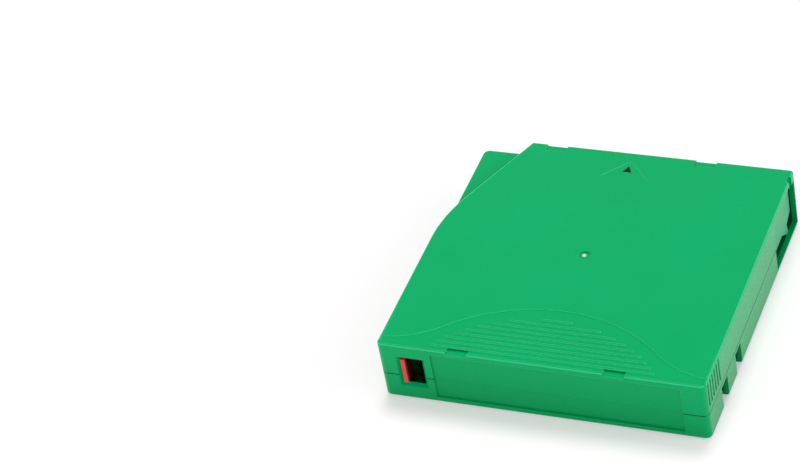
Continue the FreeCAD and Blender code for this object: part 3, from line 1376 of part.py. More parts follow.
def build_leader_pin_spring():
    """Bent strip whose two arms press the pin's ends into their seats."""
    body = new_body("leader_pin_spring")
    low = floor + size.leaf_end_gap
    high = roof - size.leaf_end_gap
    strip_front = inner_front - size.leaf_wall_gap
    strip_rear = strip_front - size.leaf_thickness
    bend_x = right - size.leaf_bend
    press = size.pin_end_radius + size.seat_gap
    across, along = size.leaf_lean, root(1 - size.leaf_lean * size.leaf_lean)
    tip_x, tip_y = pin_x + press * across, pin_y + press * along

    def arm(draw):
        """One arm, from the bend to where it touches the pin."""
        draw.polygon([
            (bend_x, strip_rear), (tip_x, tip_y),
            (tip_x + size.leaf_thickness * across, tip_y + size.leaf_thickness * along),
            (bend_x + size.leaf_thickness * across, strip_front),
        ])

    grow(body, "strip", low, high, lambda draw: draw.rectangle(
        right - size.leaf_left, strip_rear, bend_x + size.leaf_play, strip_front))
    grow(body, "lower_arm", low, low + size.leaf_arm, arm)
    grow(body, "upper_arm", high - size.leaf_arm, high, arm)


# ---------------------------------------------------------------- small parts
def build_memory_board():
    """Chip board that leans at 45 degrees in the rear right corner."""
    body = new_body("memory_board")
    grow(body, "board", 0, size.board_thickness,
         lambda draw: draw.rectangle(0, 0, size.board_width, size.board_height))
    corner_y, corner_z = board_corner()
    body.Placement.Rotation = FreeCAD.Rotation(FreeCAD.Vector(1, 0, 0), 135)
    body.setExpression("Placement.Base.x", board_left.text)
    body.setExpression("Placement.Base.y", corner_y.text)
    body.setExpression("Placement.Base.z", corner_z.text)


def build_case_screw(label, place):
    """Screw driven up through the lower shell into the upper one."""
    body = new_body(label)
    head_low = size.screw_sink
    head_high = head_low + size.screw_head_height
    revolve(body, "screw", [
        (0, head_low), (size.screw_head_radius, head_low), (size.screw_head_radius, head_high),
        (size.screw_radius, head_high), (size.screw_radius, head_high + size.screw_length),
        (0, head_high + size.screw_length),
    ])
    cut(body, "cross", head_low - CLEAR, head_low + size.socket_depth,
        lambda draw: draw_cross(draw, size.socket_span, size.socket_width, 0))
    on_axis(body, *place)


def export():
    """Check every object and node, then write one STEP file for each node."""
    doc.recompute()
    for item in doc.Objects:
        if "Invalid" in item.State or "Error" in item.State:
            raise RuntimeError(f"{item.Name} failed: {item.State}")
    for node in nodes:
        shape = node.Shape
        if shape.isNull() or not shape.isValid() or not shape.Solids:
            raise RuntimeError(f"{node.Label} has no valid solid")
    os.makedirs("parts", exist_ok=True)
    for node in nodes:
        node.Shape.exportStep(f"parts/{node.Label}.step")


build_upper_shell()
build_lower_shell()
build_sliding_door()
build_door_spring()
build_write_protect_tab()
build_reel_hub()
build_reel_upper_flange()
build_reel_drive_plate()
build_tape_pack()
build_brake_disc()
build_brake_spring()
build_clutch_release()
build_leader_pin()
build_leader_clip()
build_tape_leader()
build_leader_pin_spring()
build_memory_board()
for screw_label, screw_place in screws.items():
    build_case_screw(screw_label, screw_place)
export()
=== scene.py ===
"""Looks of a half-inch data tape cartridge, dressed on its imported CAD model.

Each sub-assembly of the cartridge is a class. It takes its places from the CAD nodes'
boxes, builds the meshes that the CAD model leaves plain and gives each piece its finish,
and each finish is a class of its own. Lengths are in metres, and MM stands beside those
that are written in millimetres. Noise and weave are in features per metre. X runs to the
right side, Y to the front and Z upwards.
"""
import logging
import math
from dataclasses import dataclass, field
from enum import Enum

import bmesh
import bpy
from mathutils import Matrix, Vector


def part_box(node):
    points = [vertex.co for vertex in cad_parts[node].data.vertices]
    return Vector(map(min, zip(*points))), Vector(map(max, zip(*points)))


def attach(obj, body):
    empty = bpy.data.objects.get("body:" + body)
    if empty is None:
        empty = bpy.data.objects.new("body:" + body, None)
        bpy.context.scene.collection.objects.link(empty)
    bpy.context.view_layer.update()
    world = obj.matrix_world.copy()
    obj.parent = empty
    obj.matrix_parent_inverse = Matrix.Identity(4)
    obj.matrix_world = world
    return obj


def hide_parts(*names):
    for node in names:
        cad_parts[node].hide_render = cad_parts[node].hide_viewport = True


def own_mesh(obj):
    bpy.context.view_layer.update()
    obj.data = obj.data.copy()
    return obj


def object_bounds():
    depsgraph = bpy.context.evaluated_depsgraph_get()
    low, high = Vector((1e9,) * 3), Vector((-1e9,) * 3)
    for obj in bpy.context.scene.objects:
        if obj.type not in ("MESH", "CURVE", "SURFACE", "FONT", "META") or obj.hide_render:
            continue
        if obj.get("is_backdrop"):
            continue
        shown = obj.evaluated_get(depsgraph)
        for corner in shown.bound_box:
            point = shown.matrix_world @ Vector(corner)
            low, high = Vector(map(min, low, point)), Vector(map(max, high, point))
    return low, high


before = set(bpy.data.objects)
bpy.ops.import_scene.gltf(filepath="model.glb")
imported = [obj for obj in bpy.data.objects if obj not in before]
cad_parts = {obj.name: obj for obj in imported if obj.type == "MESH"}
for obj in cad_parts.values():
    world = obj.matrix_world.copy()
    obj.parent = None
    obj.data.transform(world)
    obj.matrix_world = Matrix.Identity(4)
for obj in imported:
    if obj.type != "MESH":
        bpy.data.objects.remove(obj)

Colour = tuple[float, float, float]
Socket = bpy.types.NodeSocket
Surface = tuple[Socket, Socket, Socket]

LOG = logging.getLogger("cartridge")
MM = 0.001
WHITE: Colour = (1.0, 1.0, 1.0)

# How copies of the CAD nodes are joined and softened. The two angles are in degrees.
WELD = 0.0005 * MM
FLAT_ANGLE = 0.4
SHARP_ANGLE = 38.0
UNBEVELLED = 0.0
BEVEL_STEPS = 2
FLAT_WEIGHT = 100


class Body(Enum):
    """Rigid bodies of the cartridge."""

    CASE = "case"
    DOOR = "door"
    TAB = "tab"
    REEL = "reel"
    RELEASE = "release"
    BRAKE = "brake"


# ---------------------------------------------------------------- node trees
class Shading:
    """A material's node tree, with short calls for the nodes that finishes share."""

    EDGE_SAMPLES = 6

    def __init__(self, name: str) -> None:
        """Make an empty material with its Principled shader.

        Args:
            name: The material's name.
        """
        self.material = bpy.data.materials.new(name)
        self.material.use_nodes = True
        self.tree = self.material.node_tree
        self.tree.nodes.clear()
        self.shader = self.node("BsdfPrincipled", {})
        self.output = self.node("OutputMaterial", {"Surface": self.shader.outputs[0]})
        place = self.node("TexCoord", {})
        self.place = place.outputs["Object"]
        self.normal = place.outputs["Normal"]
        self.facing = self.node("NewGeometry", {}).outputs["Normal"]
        self.x, self.y, self.z = self.parts(self.place)

    def node(self, kind: str, inputs: dict[int | str, object], **settings: object) -> bpy.types.Node:
        """Add a node.

        Args:
            kind: Blender's name of the node's type, without ShaderNode before it.
            inputs: A socket, number or colour for each input, by the input's number or name.
            **settings: Values of the node's own properties.

        Returns:
            The node.
        """
        node = self.tree.nodes.new(f"ShaderNode{kind}")
        for name, value in settings.items():
            setattr(node, name, value)
        for name, value in inputs.items():
            self.put(node.inputs[name], value)
        return node

    def put(self, socket: Socket, value: object) -> None:
        """Link an output into an input socket, or set a plain value there.

        Args:
            socket: The input socket.
            value: An output socket, a number or a colour.
        """
        if isinstance(value, Socket):
            self.tree.links.new(value, socket)
        elif isinstance(value, tuple):
            socket.default_value = (*value, 1.0)
        else:
            socket.default_value = value

    def math(self, operation: str, first: object, second: object = 0.0) -> Socket:
        """What an arithmetic node gives for two numbers or sockets."""
        return self.node("Math", {0: first, 1: second}, operation=operation).outputs[0]

    def above(self, value: object, limit: object) -> Socket:
        """One where a value is above a limit, zero elsewhere."""
        return self.math("GREATER_THAN", value, limit)

    def below(self, value: object, limit: object) -> Socket:
        """One where a value is below a limit, zero elsewhere."""
        return self.math("LESS_THAN", value, limit)

    def amount(self, value: object) -> Socket:
        """A value without its sign."""
        return self.math("ABSOLUTE", value)

    def product(self, first: Socket, *others: Socket) -> Socket:
        """Several shares multiplied, which is one only where all of them are one.

        Args:
            first: A share from zero to one.
            *others: More shares.

        Returns:
            Their product.
        """
        for other in others:
            first = self.math("MULTIPLY", first, other)
        return first

    def highest(self, first: Socket, *others: Socket) -> Socket:
        """The highest of several shares.

        Args:
            first: A share from zero to one.
            *others: More shares.

        Returns:
            The highest one.
        """
        for other in others:
            first = self.math("MAXIMUM", first, other)
        return first

    def dot(self, first: Socket, second: Socket) -> Socket:
        """How far two directions agree."""
        return self.node("VectorMath", {0: first, 1: second}, operation="DOT_PRODUCT").outputs["Value"]

    def parts(self, coordinate: Socket) -> Surface:
        """The three parts of a coordinate."""
        return tuple(self.node("SeparateXYZ", {0: coordinate}).outputs)

    def along(self, value: Socket) -> Socket:
        """A coordinate whose first part is a value, and whose others are zero."""
        return self.node("CombineXYZ", {0: value}).outputs[0]

    def from_axis(self, axis_x: float) -> Socket:
        """How far each spot is from an upright axis over the X axis.

        Args:
            axis_x: Where the axis crosses the X axis.

        Returns:
            The distance.
        """
        across = self.math("SUBTRACT", self.x, axis_x)
        squares = [self.math("MULTIPLY", side, side) for side in (across, self.y)]
        return self.math("SQRT", self.math("ADD", *squares))

    def noise(self, scale: float, detail: float = 2.0, coordinate: Socket | None = None) -> Socket:
        """Noise around 0.5.

        Args:
            scale: Features per metre.
            detail: Octaves of finer noise.
            coordinate: Where to read it, the object's own place by default.

        Returns:
            The noise factor.
        """
        inputs = {"Vector": coordinate or self.place, "Scale": scale, "Detail": detail}
        return self.node("TexNoise", inputs).outputs["Fac"]

    def span(self, value: Socket, low: float, high: float, start: float = 0.3, stop: float = 0.7) -> Socket:
        """A value mapped to another range and kept inside it.

        Args:
            value: The value.
            low: What start turns into.
            high: What stop turns into.
            start: Where the value begins, by default about where noise does.
            stop: Where the value ends, by default about where noise does.

        Returns:
            The mapped value.
        """
        inputs = {"Value": value, "From Min": start, "From Max": stop, "To Min": low, "To Max": high}
        return self.node("MapRange", inputs).outputs["Result"]

    def mix(self, share: object, first: object, second: object) -> Socket:
        """Two colours mixed, where share is how much of the second one shows."""
        return self.node("Mix", {0: share, 6: first, 7: second}, data_type="RGBA").outputs[2]

    def bump(self, height: Socket, depth: float, below: Socket | None = None) -> Socket:
        """A bumped normal.

        Args:
            height: How high each spot is, from zero to one.
            depth: How far a height of one stands out.
            below: The normal that is bumped, the face's own by default.

        Returns:
            The normal.
        """
        inputs = {"Height": height, "Distance": depth}
        if below is not None:
            inputs["Normal"] = below
        return self.node("Bump", inputs).outputs[0]

    def soft_edges(self, radius: float) -> Socket:
        """A normal that rounds sharp edges by a radius."""
        return self.node("Bevel", {"Radius": radius}, samples=self.EDGE_SAMPLES).outputs[0]

    def finish(self, **values: object) -> bpy.types.Material:
        """Put values on the shader and hand over the material.

        Args:
            **values: A socket, number or colour for each of the shader's inputs that is named.

        Returns:
            The material.
        """
        for name, value in values.items():
            self.put(self.shader.inputs[name.replace("_", " ")], value)
        return self.material


# ---------------------------------------------------------------- finishes
def toned(colour: Colour, share: float) -> Colour:
    """A colour made darker or lighter by a share."""
    return tuple(part * share for part in colour)


@dataclass(frozen=True)
class MouldedPlastic:
    """Injection-moulded plastic with a fine eroded texture."""

    name: str
    colour: Colour
    deep: Colour
    roughness: float = 0.30
    smoother: float = 0.05
    rougher: float = 0.07
    gloss_index: float = 1.4
    gloss: float = 0.5
    gloss_tint: Colour = (0.0, 0.9, 0.55)
    flow: float = 38.0
    flow_detail: float = 3.0
    grain: float = 2600.0
    grain_depth: float = 0.006 * MM
    edge: float = 0.2 * MM
    # The edge fields below paint a highlight: sharp edges are lightened towards a pale tone.
    edge_highlight_reach: float = 0.22 * MM
    edge_highlight_share: float = 0.0
    edge_highlight_sharp: float = 0.75
    edge_highlight_flat: float = 0.985
    edge_highlight_tone: Colour = (0.14, 0.86, 0.47)

    def edges(self, shading: Shading) -> Socket:
        """How much painted highlight each spot gets along its sharp edges.

        Args:
            shading: The material that is being made.

        Returns:
            The share of the painted highlight's colour.
        """
        turn = shading.dot(shading.soft_edges(self.edge_highlight_reach), shading.facing)
        near = shading.span(turn, 1.0, 0.0, start=self.edge_highlight_sharp, stop=self.edge_highlight_flat)
        return shading.math("MULTIPLY", near, self.edge_highlight_share)

    def surface(self, shading: Shading) -> Surface:
        """Colour, roughness and normal that the moulded finishes share.

        Args:
            shading: The material that is being made.

        Returns:
            The sockets of colour, roughness and normal.
        """
        cloud = shading.span(shading.noise(self.flow, self.flow_detail), 0.0, 1.0)
        colour = shading.mix(cloud, self.colour, self.deep)
        # Painted highlight along sharp edges.
        if self.edge_highlight_share > 0:
            colour = shading.mix(self.edges(shading), colour, self.edge_highlight_tone)
        grain = shading.noise(self.grain)
        roughness = shading.span(grain, self.roughness - self.smoother, self.roughness + self.rougher)
        normal = shading.bump(grain, self.grain_depth, shading.soft_edges(self.edge))
        return colour, roughness, normal

    def material(self) -> bpy.types.Material:
        """The finish as a material.

        Returns:
            The material.
        """
        shading = Shading(self.name)
        colour, roughness, normal = self.surface(shading)
        return shading.finish(
            Base_Color=colour, Roughness=roughness, Normal=normal, IOR=self.gloss_index,
            Specular_IOR_Level=self.gloss, Specular_Tint=self.gloss_tint)


@dataclass(frozen=True)
class ShellPlastic(MouldedPlastic):
    """The case's plastic, with painted shade in the parting line, inside the case, on its sunk panel and at
    its foot.
    """

    seam: float = 9.6 * MM
    seam_half: float = 0.17 * MM
    seam_clear: float = 0.68 * MM
    # Painted shade along the parting line.
    seam_shade_share: float = 0.14
    seam_reach: float = 0.3 * MM
    wall: float = 1.2 * MM
    mouth: float = 1.6 * MM
    upper_skin: float = 14.9 * MM
    # Painted shade inside the case, darker in its rear half.
    inside_shade_share: float = 0.3
    behind_shade_share: float = 0.11
    rim: float = 20.4 * MM
    # Painted highlight on the roof's rounded rim, set by how far its normal tilts.
    rim_highlight_share: float = 0.35
    rim_upright: tuple[float, float] = (0.3, 0.7)
    rim_level: tuple[float, float] = (0.9, 0.98)
    # Painted shade: the sides darken towards the foot.
    foot_shade_share: float = 0.79
    foot_height: float = 17.0 * MM
    # Painted shade on the sunk panel of the rear face.
    panel_shade_share: float = 0.94
    panel_skin: float = 0.15 * MM
    panel_top: float = 19.7 * MM
    panel_half: float = 47.0 * MM

    def from_seam(self, shading: Shading) -> Socket:
        """How far each spot is above or below the parting line."""
        return shading.amount(shading.math("SUBTRACT", shading.z, self.seam))

    def edges(self, shading: Shading) -> Socket:
        """How much painted highlight each spot gets: on its sharp edges and on the roof's rounded rim.

        Args:
            shading: The material that is being made.

        Returns:
            The share of the painted highlight's colour.
        """
        clear = shading.above(self.from_seam(shading), self.seam_clear)
        sharp = shading.product(super().edges(shading), clear)
        # Painted highlight on the roof's rounded rim.
        _, _, up = shading.parts(shading.normal)
        tilt = shading.amount(up)
        leaving = shading.span(tilt, 0.0, self.rim_highlight_share, *self.rim_upright)
        arriving = shading.span(tilt, 1.0, 0.0, *self.rim_level)
        rounded = shading.product(leaving, arriving, shading.above(shading.z, self.rim))
        return shading.highest(sharp, rounded)

    def outside(self, shading: Shading, skin_x: float, skin_y: float) -> Socket:
        """Where a spot lies within a skin of the case's sides and ends.

        Args:
            shading: The material that is being made.
            skin_x: How deep the skin goes from either side.
            skin_y: How deep it goes from either end.

        Returns:
            One in the skin, zero deeper in.
        """
        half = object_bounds()[1]
        far_x = shading.above(shading.amount(shading.x), half.x - skin_x)
        far_y = shading.above(shading.amount(shading.y), half.y - skin_y)
        return shading.highest(far_x, far_y)

    def seam_shade_mask(self, shading: Shading) -> Socket:
        """Where the parting line's painted shade lies: one along the parting line, zero elsewhere."""
        near = shading.below(self.from_seam(shading), self.seam_half)
        return shading.product(near, self.outside(shading, self.seam_reach, self.seam_reach))

    def panel(self, shading: Shading) -> Socket:
        """Where a spot lies on the sunk panel of the rear face.

        Args:
            shading: The material that is being made.

        Returns:
            One on the panel, zero elsewhere.
        """
        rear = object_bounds()[0].y
        return shading.product(
            shading.above(shading.y, rear + self.panel_skin),
            shading.below(shading.y, rear + self.wall),
            shading.below(shading.z, self.panel_top),
            shading.below(shading.amount(shading.x), self.panel_half))

    def painted_inside_shade(self, shading: Shading, colour: Socket) -> Socket:
        """A colour with painted shade inside the case, darkest in its rear half.

        Args:
            shading: The material that is being made.
            colour: The colour outside.

        Returns:
            The colour everywhere.
        """
        skin = shading.highest(
            shading.above(shading.z, self.upper_skin), shading.below(shading.z, self.wall),
            self.outside(shading, self.mouth, self.wall))
        # Painted shade inside the case.
        inside = shading.mix(
            shading.below(shading.y, 0.0), toned(self.deep, self.inside_shade_share),
            toned(self.deep, self.behind_shade_share))
        return shading.mix(skin, inside, colour)

    def surface(self, shading: Shading) -> Surface:
        """Colour, roughness and normal, with painted shade at the foot, on the sunk panel, in the parting
        line and inside.

        Args:
            shading: The material that is being made.

        Returns:
            The sockets of colour, roughness and normal.
        """
        colour, roughness, normal = super().surface(shading)
        # Painted shade, darker towards the foot.
        foot = shading.span(shading.z, 1.0, 0.0, start=0.0, stop=self.foot_height)
        colour = shading.mix(foot, colour, toned(self.deep, self.foot_shade_share))
        # Painted shade on the sunk panel, also darker towards the foot.
        sunk = toned(self.deep, self.panel_shade_share)
        sunk_colour = shading.mix(foot, sunk, toned(sunk, self.foot_shade_share))
        colour = shading.mix(self.panel(shading), colour, sunk_colour)
        # Painted shade along the parting line.
        colour = shading.mix(self.seam_shade_mask(shading), colour, toned(self.deep, self.seam_shade_share))
        return self.painted_inside_shade(shading, colour), roughness, normal


@dataclass(frozen=True)
class PrintedShell(ShellPlastic):
    """The upper shell's plastic, with its printed arrow, its gate mark and painted highlights on its low
    walls.
    """

    arrow_tip: float = 44.2 * MM
    arrow_tail: float = 41.2 * MM
    arrow_half: float = 1.55 * MM
    printed_above: float = 21.3 * MM
    ink: Colour = (0.003, 0.004, 0.003)
    gate_x: float = 0.0
    # The gate mark's pale tone is stress whitening and a painted highlight on its dome.
    gate_whitening_and_highlight_tone: Colour = (0.75, 0.90, 0.82)
    gate_pale_heart: float = 0.30 * MM
    gate_pale_reach: float = 0.85 * MM
    # Painted highlights on the low walls of the bell, its ribs and the direction mark.
    wall_highlight_low: float = 21.21 * MM
    wall_highlight_high: float = 21.485 * MM
    wall_highlight_margin: float = 0.75 * MM
    wall_highlight_clear: float = 2.3 * MM
    wall_highlight_tone: Colour = (0.04, 0.74, 0.34)
    pointer_from: float = 37.5 * MM
    pointer_share: float = 0.55

    def arrow(self, shading: Shading) -> Socket:
        """Where the arrow is printed.

        Args:
            shading: The material that is being made.

        Returns:
            One on the arrow, zero elsewhere.
        """
        slope = self.arrow_half / (self.arrow_tip - self.arrow_tail)
        room = shading.math("MULTIPLY", shading.math("SUBTRACT", self.arrow_tip, shading.y), slope)
        return shading.product(
            shading.above(room, shading.amount(shading.x)),
            shading.above(shading.y, self.arrow_tail),
            shading.above(shading.z, self.printed_above))

    def gate_whitening_and_highlight(self, shading: Shading) -> Socket:
        """How pale the moulding gate's mark is, highest at its heart: stress whitening and a painted
        highlight on its dome.

        Args:
            shading: The material that is being made.

        Returns:
            The share of the mark's tone.
        """
        away = shading.from_axis(self.gate_x)
        pale = shading.span(away, 1.0, 0.0, start=self.gate_pale_heart, stop=self.gate_pale_reach)
        return shading.product(pale, shading.above(shading.z, self.rim))

    def wall_highlights(self, shading: Shading) -> Socket:
        """How much painted highlight each spot gets on the low walls of the bell, its ribs and the direction
        mark.

        Args:
            shading: The material that is being made.

        Returns:
            The share of the painted highlight's tone.
        """
        edge = self.outside(shading, self.wall_highlight_margin, self.wall_highlight_margin)
        return shading.product(
            shading.above(shading.z, self.wall_highlight_low),
            shading.below(shading.z, self.wall_highlight_high),
            shading.above(shading.from_axis(self.gate_x), self.wall_highlight_clear),
            shading.math("SUBTRACT", 1.0, edge),
            self.pointer(shading))

    def pointer(self, shading: Shading) -> Socket:
        """How strongly the painted wall highlights show.

        Args:
            shading: The material that is being made.

        Returns:
            One, but less on the pointer's left arm and nothing on its right arm.
        """
        ahead = shading.above(shading.y, self.pointer_from)
        right = shading.above(shading.x, 0.0)
        loss = shading.span(right, 1.0 - self.pointer_share, 1.0, start=0.0, stop=1.0)
        return shading.math("SUBTRACT", 1.0, shading.product(ahead, loss))

    def surface(self, shading: Shading) -> Surface:
        """Colour, roughness and normal, with the painted wall highlights, the arrow and the gate mark.

        Args:
            shading: The material that is being made.

        Returns:
            The sockets of colour, roughness and normal.
        """
        colour, roughness, normal = super().surface(shading)
        # Painted highlights on the low walls.
        colour = shading.mix(self.wall_highlights(shading), colour, self.wall_highlight_tone)
        colour = shading.mix(self.arrow(shading), colour, self.ink)
        # Gate mark: stress whitening and a painted highlight.
        colour = shading.mix(self.gate_whitening_and_highlight(shading), colour, self.gate_whitening_and_highlight_tone)
        return colour, roughness, normal


@dataclass(frozen=True)
class SliderPlastic(MouldedPlastic):
    """The slider's plastic, with painted shade where it runs into the case."""

    face: float = 0.0
    # Painted shade where the slider runs into the case.
    depth_shade_share: float = 0.12
    depth_shade_from: float = 0.15 * MM
    depth_shade_to: float = 1.6 * MM

    def surface(self, shading: Shading) -> Surface:
        """Colour, roughness and normal, with painted shade that deepens behind the slider's face.

        Args:
            shading: The material that is being made.

        Returns:
            The sockets of colour, roughness and normal.
        """
        colour, roughness, normal = super().surface(shading)
        depth = shading.math("SUBTRACT", shading.y, self.face)
        # Painted shade, deeper with the distance behind the face.
        depth_shade = shading.span(depth, 0.0, 1.0, start=self.depth_shade_from, stop=self.depth_shade_to)
        return shading.mix(depth_shade, colour, toned(self.deep, self.depth_shade_share)), roughness, normal


@dataclass(frozen=True)
class Steel:
    """Turned, drawn or ground steel."""

    name: str
    colour: Colour = (0.62, 0.61, 0.59)
    roughness: float = 0.28
    smoother: float = 0.06
    rougher: float = 0.1
    lines: float = 900.0
    lines_detail: float = 4.0
    line_depth: float = 0.004 * MM
    clouds: float = 120.0
    cloud_share: float = 0.35
    cloud_tone: float = 0.7
    edge: float = 0.06 * MM

    def material(self) -> bpy.types.Material:
        """The finish as a material.

        Returns:
            The material.
        """
        shading = Shading(self.name)
        streak = shading.noise(self.lines, self.lines_detail)
        cloud = shading.span(shading.noise(self.clouds), 0.0, self.cloud_share)
        tint = shading.mix(cloud, self.colour, toned(self.colour, self.cloud_tone))
        roughness = shading.span(streak, self.roughness - self.smoother, self.roughness + self.rougher)
        normal = shading.bump(streak, self.line_depth, shading.soft_edges(self.edge))
        return shading.finish(Base_Color=tint, Roughness=roughness, Normal=normal, Metallic=1.0)


@dataclass(frozen=True)
class WoundFilm:
    """Coated film, wound in turns about an upright axis."""

    name: str
    axis_x: float
    colour: Colour = (0.030, 0.022, 0.018)
    edge_colour: Colour = (0.075, 0.058, 0.048)
    turns: float = 5200.0
    bands: float = 260.0
    detail: float = 3.0
    turn_depth: float = 0.02 * MM
    smoothest: float = 0.22
    roughest: float = 0.42
    gloss_index: float = 1.6

    def material(self) -> bpy.types.Material:
        """The finish as a material.

        Returns:
            The material.
        """
        shading = Shading(self.name)
        radius = shading.along(shading.from_axis(self.axis_x))
        turns = shading.noise(self.turns, self.detail, radius)
        bands = shading.span(shading.noise(self.bands, self.detail, radius), 0.0, 1.0)
        return shading.finish(
            Base_Color=shading.mix(bands, self.colour, self.edge_colour),
            Roughness=shading.span(turns, self.smoothest, self.roughest),
            Normal=shading.bump(turns, self.turn_depth), IOR=self.gloss_index)


@dataclass(frozen=True)
class Laminate:
    """Lacquered board with a faint glass weave."""

    name: str
    colour: Colour = (0.015, 0.13, 0.06)
    threads: float = 1800.0
    thread_depth: float = 0.004 * MM
    clouds: float = 300.0
    cloud_tone: float = 1.5
    roughness: float = 0.25
    lacquer: float = 0.5

    def material(self) -> bpy.types.Material:
        """The finish as a material.

        Returns:
            The material.
        """
        shading = Shading(self.name)
        warp, weft = (
            shading.math("SINE", shading.math("MULTIPLY", place, self.threads * math.tau))
            for place in (shading.x, shading.y))
        cloud = shading.span(shading.noise(self.clouds), 0.0, 1.0)
        return shading.finish(
            Base_Color=shading.mix(cloud, self.colour, toned(self.colour, self.cloud_tone)),
            Normal=shading.bump(shading.math("MULTIPLY", warp, weft), self.thread_depth),
            Roughness=self.roughness, Coat_Weight=self.lacquer)


# ---------------------------------------------------------------- mesh helpers
def centre(node: str) -> Vector:
    """The centre of a CAD node's box."""
    low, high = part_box(node)
    return (low + high) / 2


def linked(name: str, mesh: bpy.types.Mesh) -> bpy.types.Object:
    """Link a mesh into the scene as an object at the origin.

    Args:
        name: The object's name.
        mesh: Its mesh.

    Returns:
        The object.
    """
    piece = bpy.data.objects.new(name, mesh)
    bpy.context.scene.collection.objects.link(piece)
    return piece


def merged_copy(node: str) -> bpy.types.Object:
    """A copy of a CAD node whose loose triangles are joined into faces.

    Args:
        node: The CAD node.

    Returns:
        The copy, linked into the scene and named after the node.
    """
    name = f"{node}_dressed"
    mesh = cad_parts[node].data.copy()
    mesh.name = name
    shape = bmesh.new()
    shape.from_mesh(mesh)
    bmesh.ops.remove_doubles(shape, verts=shape.verts, dist=WELD)
    bmesh.ops.dissolve_limit(
        shape, angle_limit=math.radians(FLAT_ANGLE), verts=shape.verts, edges=shape.edges)
    shape.to_mesh(mesh)
    shape.free()
    mesh.materials.clear()
    return linked(name, mesh)


def settled(piece: bpy.types.Object) -> bpy.types.Object:
    """Turn an object's modifiers into plain mesh.

    Args:
        piece: The object, whose modifiers are then gone.

    Returns:
        The same object.
    """
    graph = bpy.context.evaluated_depsgraph_get()
    result = bpy.data.meshes.new_from_object(piece.evaluated_get(graph))
    piece.modifiers.clear()
    piece.data = result
    return piece


def softened(piece: bpy.types.Object, width: float) -> bpy.types.Object:
    """Bevel the sharp edges of a piece and shade it smooth between them.

    Args:
        piece: The object.
        width: Width of the bevels, UNBEVELLED for none.

    Returns:
        The same object.
    """
    angle = math.radians(SHARP_ANGLE)
    if width > UNBEVELLED:
        bevel = piece.modifiers.new("soft_edges", "BEVEL")
        bevel.width = width
        bevel.segments = BEVEL_STEPS
        bevel.limit_method = "ANGLE"
        bevel.angle_limit = angle
        bevel.use_clamp_overlap = True
        settled(piece)
    piece.data.polygons.foreach_set("use_smooth", [True] * len(piece.data.polygons))
    piece.data.set_sharp_from_angle(angle=angle)
    weigh = piece.modifiers.new("flat_faces", "WEIGHTED_NORMAL")
    weigh.weight = FLAT_WEIGHT
    weigh.keep_sharp = True
    return settled(piece)


def dress(piece: bpy.types.Object, finish: bpy.types.Material) -> None:
    """Give a piece one finish."""
    piece.data.materials.clear()
    piece.data.materials.append(finish)


def stand_for(node: str, piece: bpy.types.Object, body: Body, finish: bpy.types.Material) -> None:
    """Let a piece stand for a CAD node and move with its body.

    Args:
        node: The CAD node that isn't shown any more.
        piece: The new piece.
        body: The body that carries it.
        finish: The piece's material.
    """
    dress(piece, finish)
    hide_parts(node)
    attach(piece, body.value)
    LOG.info("%s: %d faces", piece.name, len(piece.data.polygons))


def soften_node(node: str, edge: float, body: Body, finish: bpy.types.Material) -> None:
    """Let a softened copy of a CAD node stand for it.

    Args:
        node: The CAD node.
        edge: Width of the copy's bevels.
        body: The body that carries it.
        finish: The copy's material.
    """
    stand_for(node, softened(merged_copy(node), edge), body, finish)


# ---------------------------------------------------------------- geometry nodes
class CoilTree:
    """Geometry Nodes that sweep a round wire along a spiral."""

    INPUTS = (
        ("Turns", "NodeSocketFloat"), ("Radius", "NodeSocketFloat"), ("Length", "NodeSocketFloat"),
        ("Wire", "NodeSocketFloat"), ("Steps", "NodeSocketInt"), ("Sides", "NodeSocketInt"),
        ("Place", "NodeSocketVector"), ("Turned", "NodeSocketVector"), ("Finish", "NodeSocketMaterial"),
    )

    def __init__(self) -> None:
        """Build the tree once, for every spring."""
        self.tree = bpy.data.node_groups.new("coil", "GeometryNodeTree")
        face = self.tree.interface
        for name, kind in self.INPUTS:
            face.new_socket(name, in_out="INPUT", socket_type=kind)
        face.new_socket("Geometry", in_out="OUTPUT", socket_type="NodeSocketGeometry")
        new = self.tree.nodes.new
        given = new("NodeGroupInput")
        spiral = new("GeometryNodeCurveSpiral")
        circle = new("GeometryNodeCurvePrimitiveCircle")
        sweep = new("GeometryNodeCurveToMesh")
        move = new("GeometryNodeTransform")
        smooth = new("GeometryNodeSetShadeSmooth")
        realize = new("GeometryNodeRealizeInstances")
        paint = new("GeometryNodeSetMaterial")
        result = new("NodeGroupOutput")
        sweep.inputs["Fill Caps"].default_value = True
        for name, node, socket in (
            ("Steps", spiral, "Resolution"), ("Turns", spiral, "Rotations"),
            ("Radius", spiral, "Start Radius"), ("Radius", spiral, "End Radius"),
            ("Length", spiral, "Height"), ("Sides", circle, "Resolution"), ("Wire", circle, "Radius"),
            ("Place", move, "Translation"), ("Turned", move, "Rotation"), ("Finish", paint, "Material"),
        ):
            self.tree.links.new(given.outputs[name], node.inputs[socket])
        for giver, node, socket in (
            (spiral, sweep, "Curve"), (circle, sweep, "Profile Curve"), (sweep, move, "Geometry"),
            (move, smooth, "Geometry"), (smooth, realize, "Geometry"), (realize, paint, "Geometry"),
            (paint, result, 0),
        ):
            self.tree.links.new(giver.outputs[0], node.inputs[socket])

    def make(self, name: str, **values: object) -> bpy.types.Object:
        """One coil as a plain mesh object.

        Args:
            name: The object's name.
            **values: A value for each of the tree's inputs, in small letters.

        Returns:
            The object, linked into the scene.
        """
        piece = linked(name, bpy.data.meshes.new(name))
        modifier = piece.modifiers.new("coil", "NODES")
        modifier.node_group = self.tree
        for item in self.tree.interface.items_tree:
            if item.item_type == "SOCKET" and item.in_out == "INPUT":
                modifier[item.identifier] = values[item.name.lower()]
        return settled(piece)


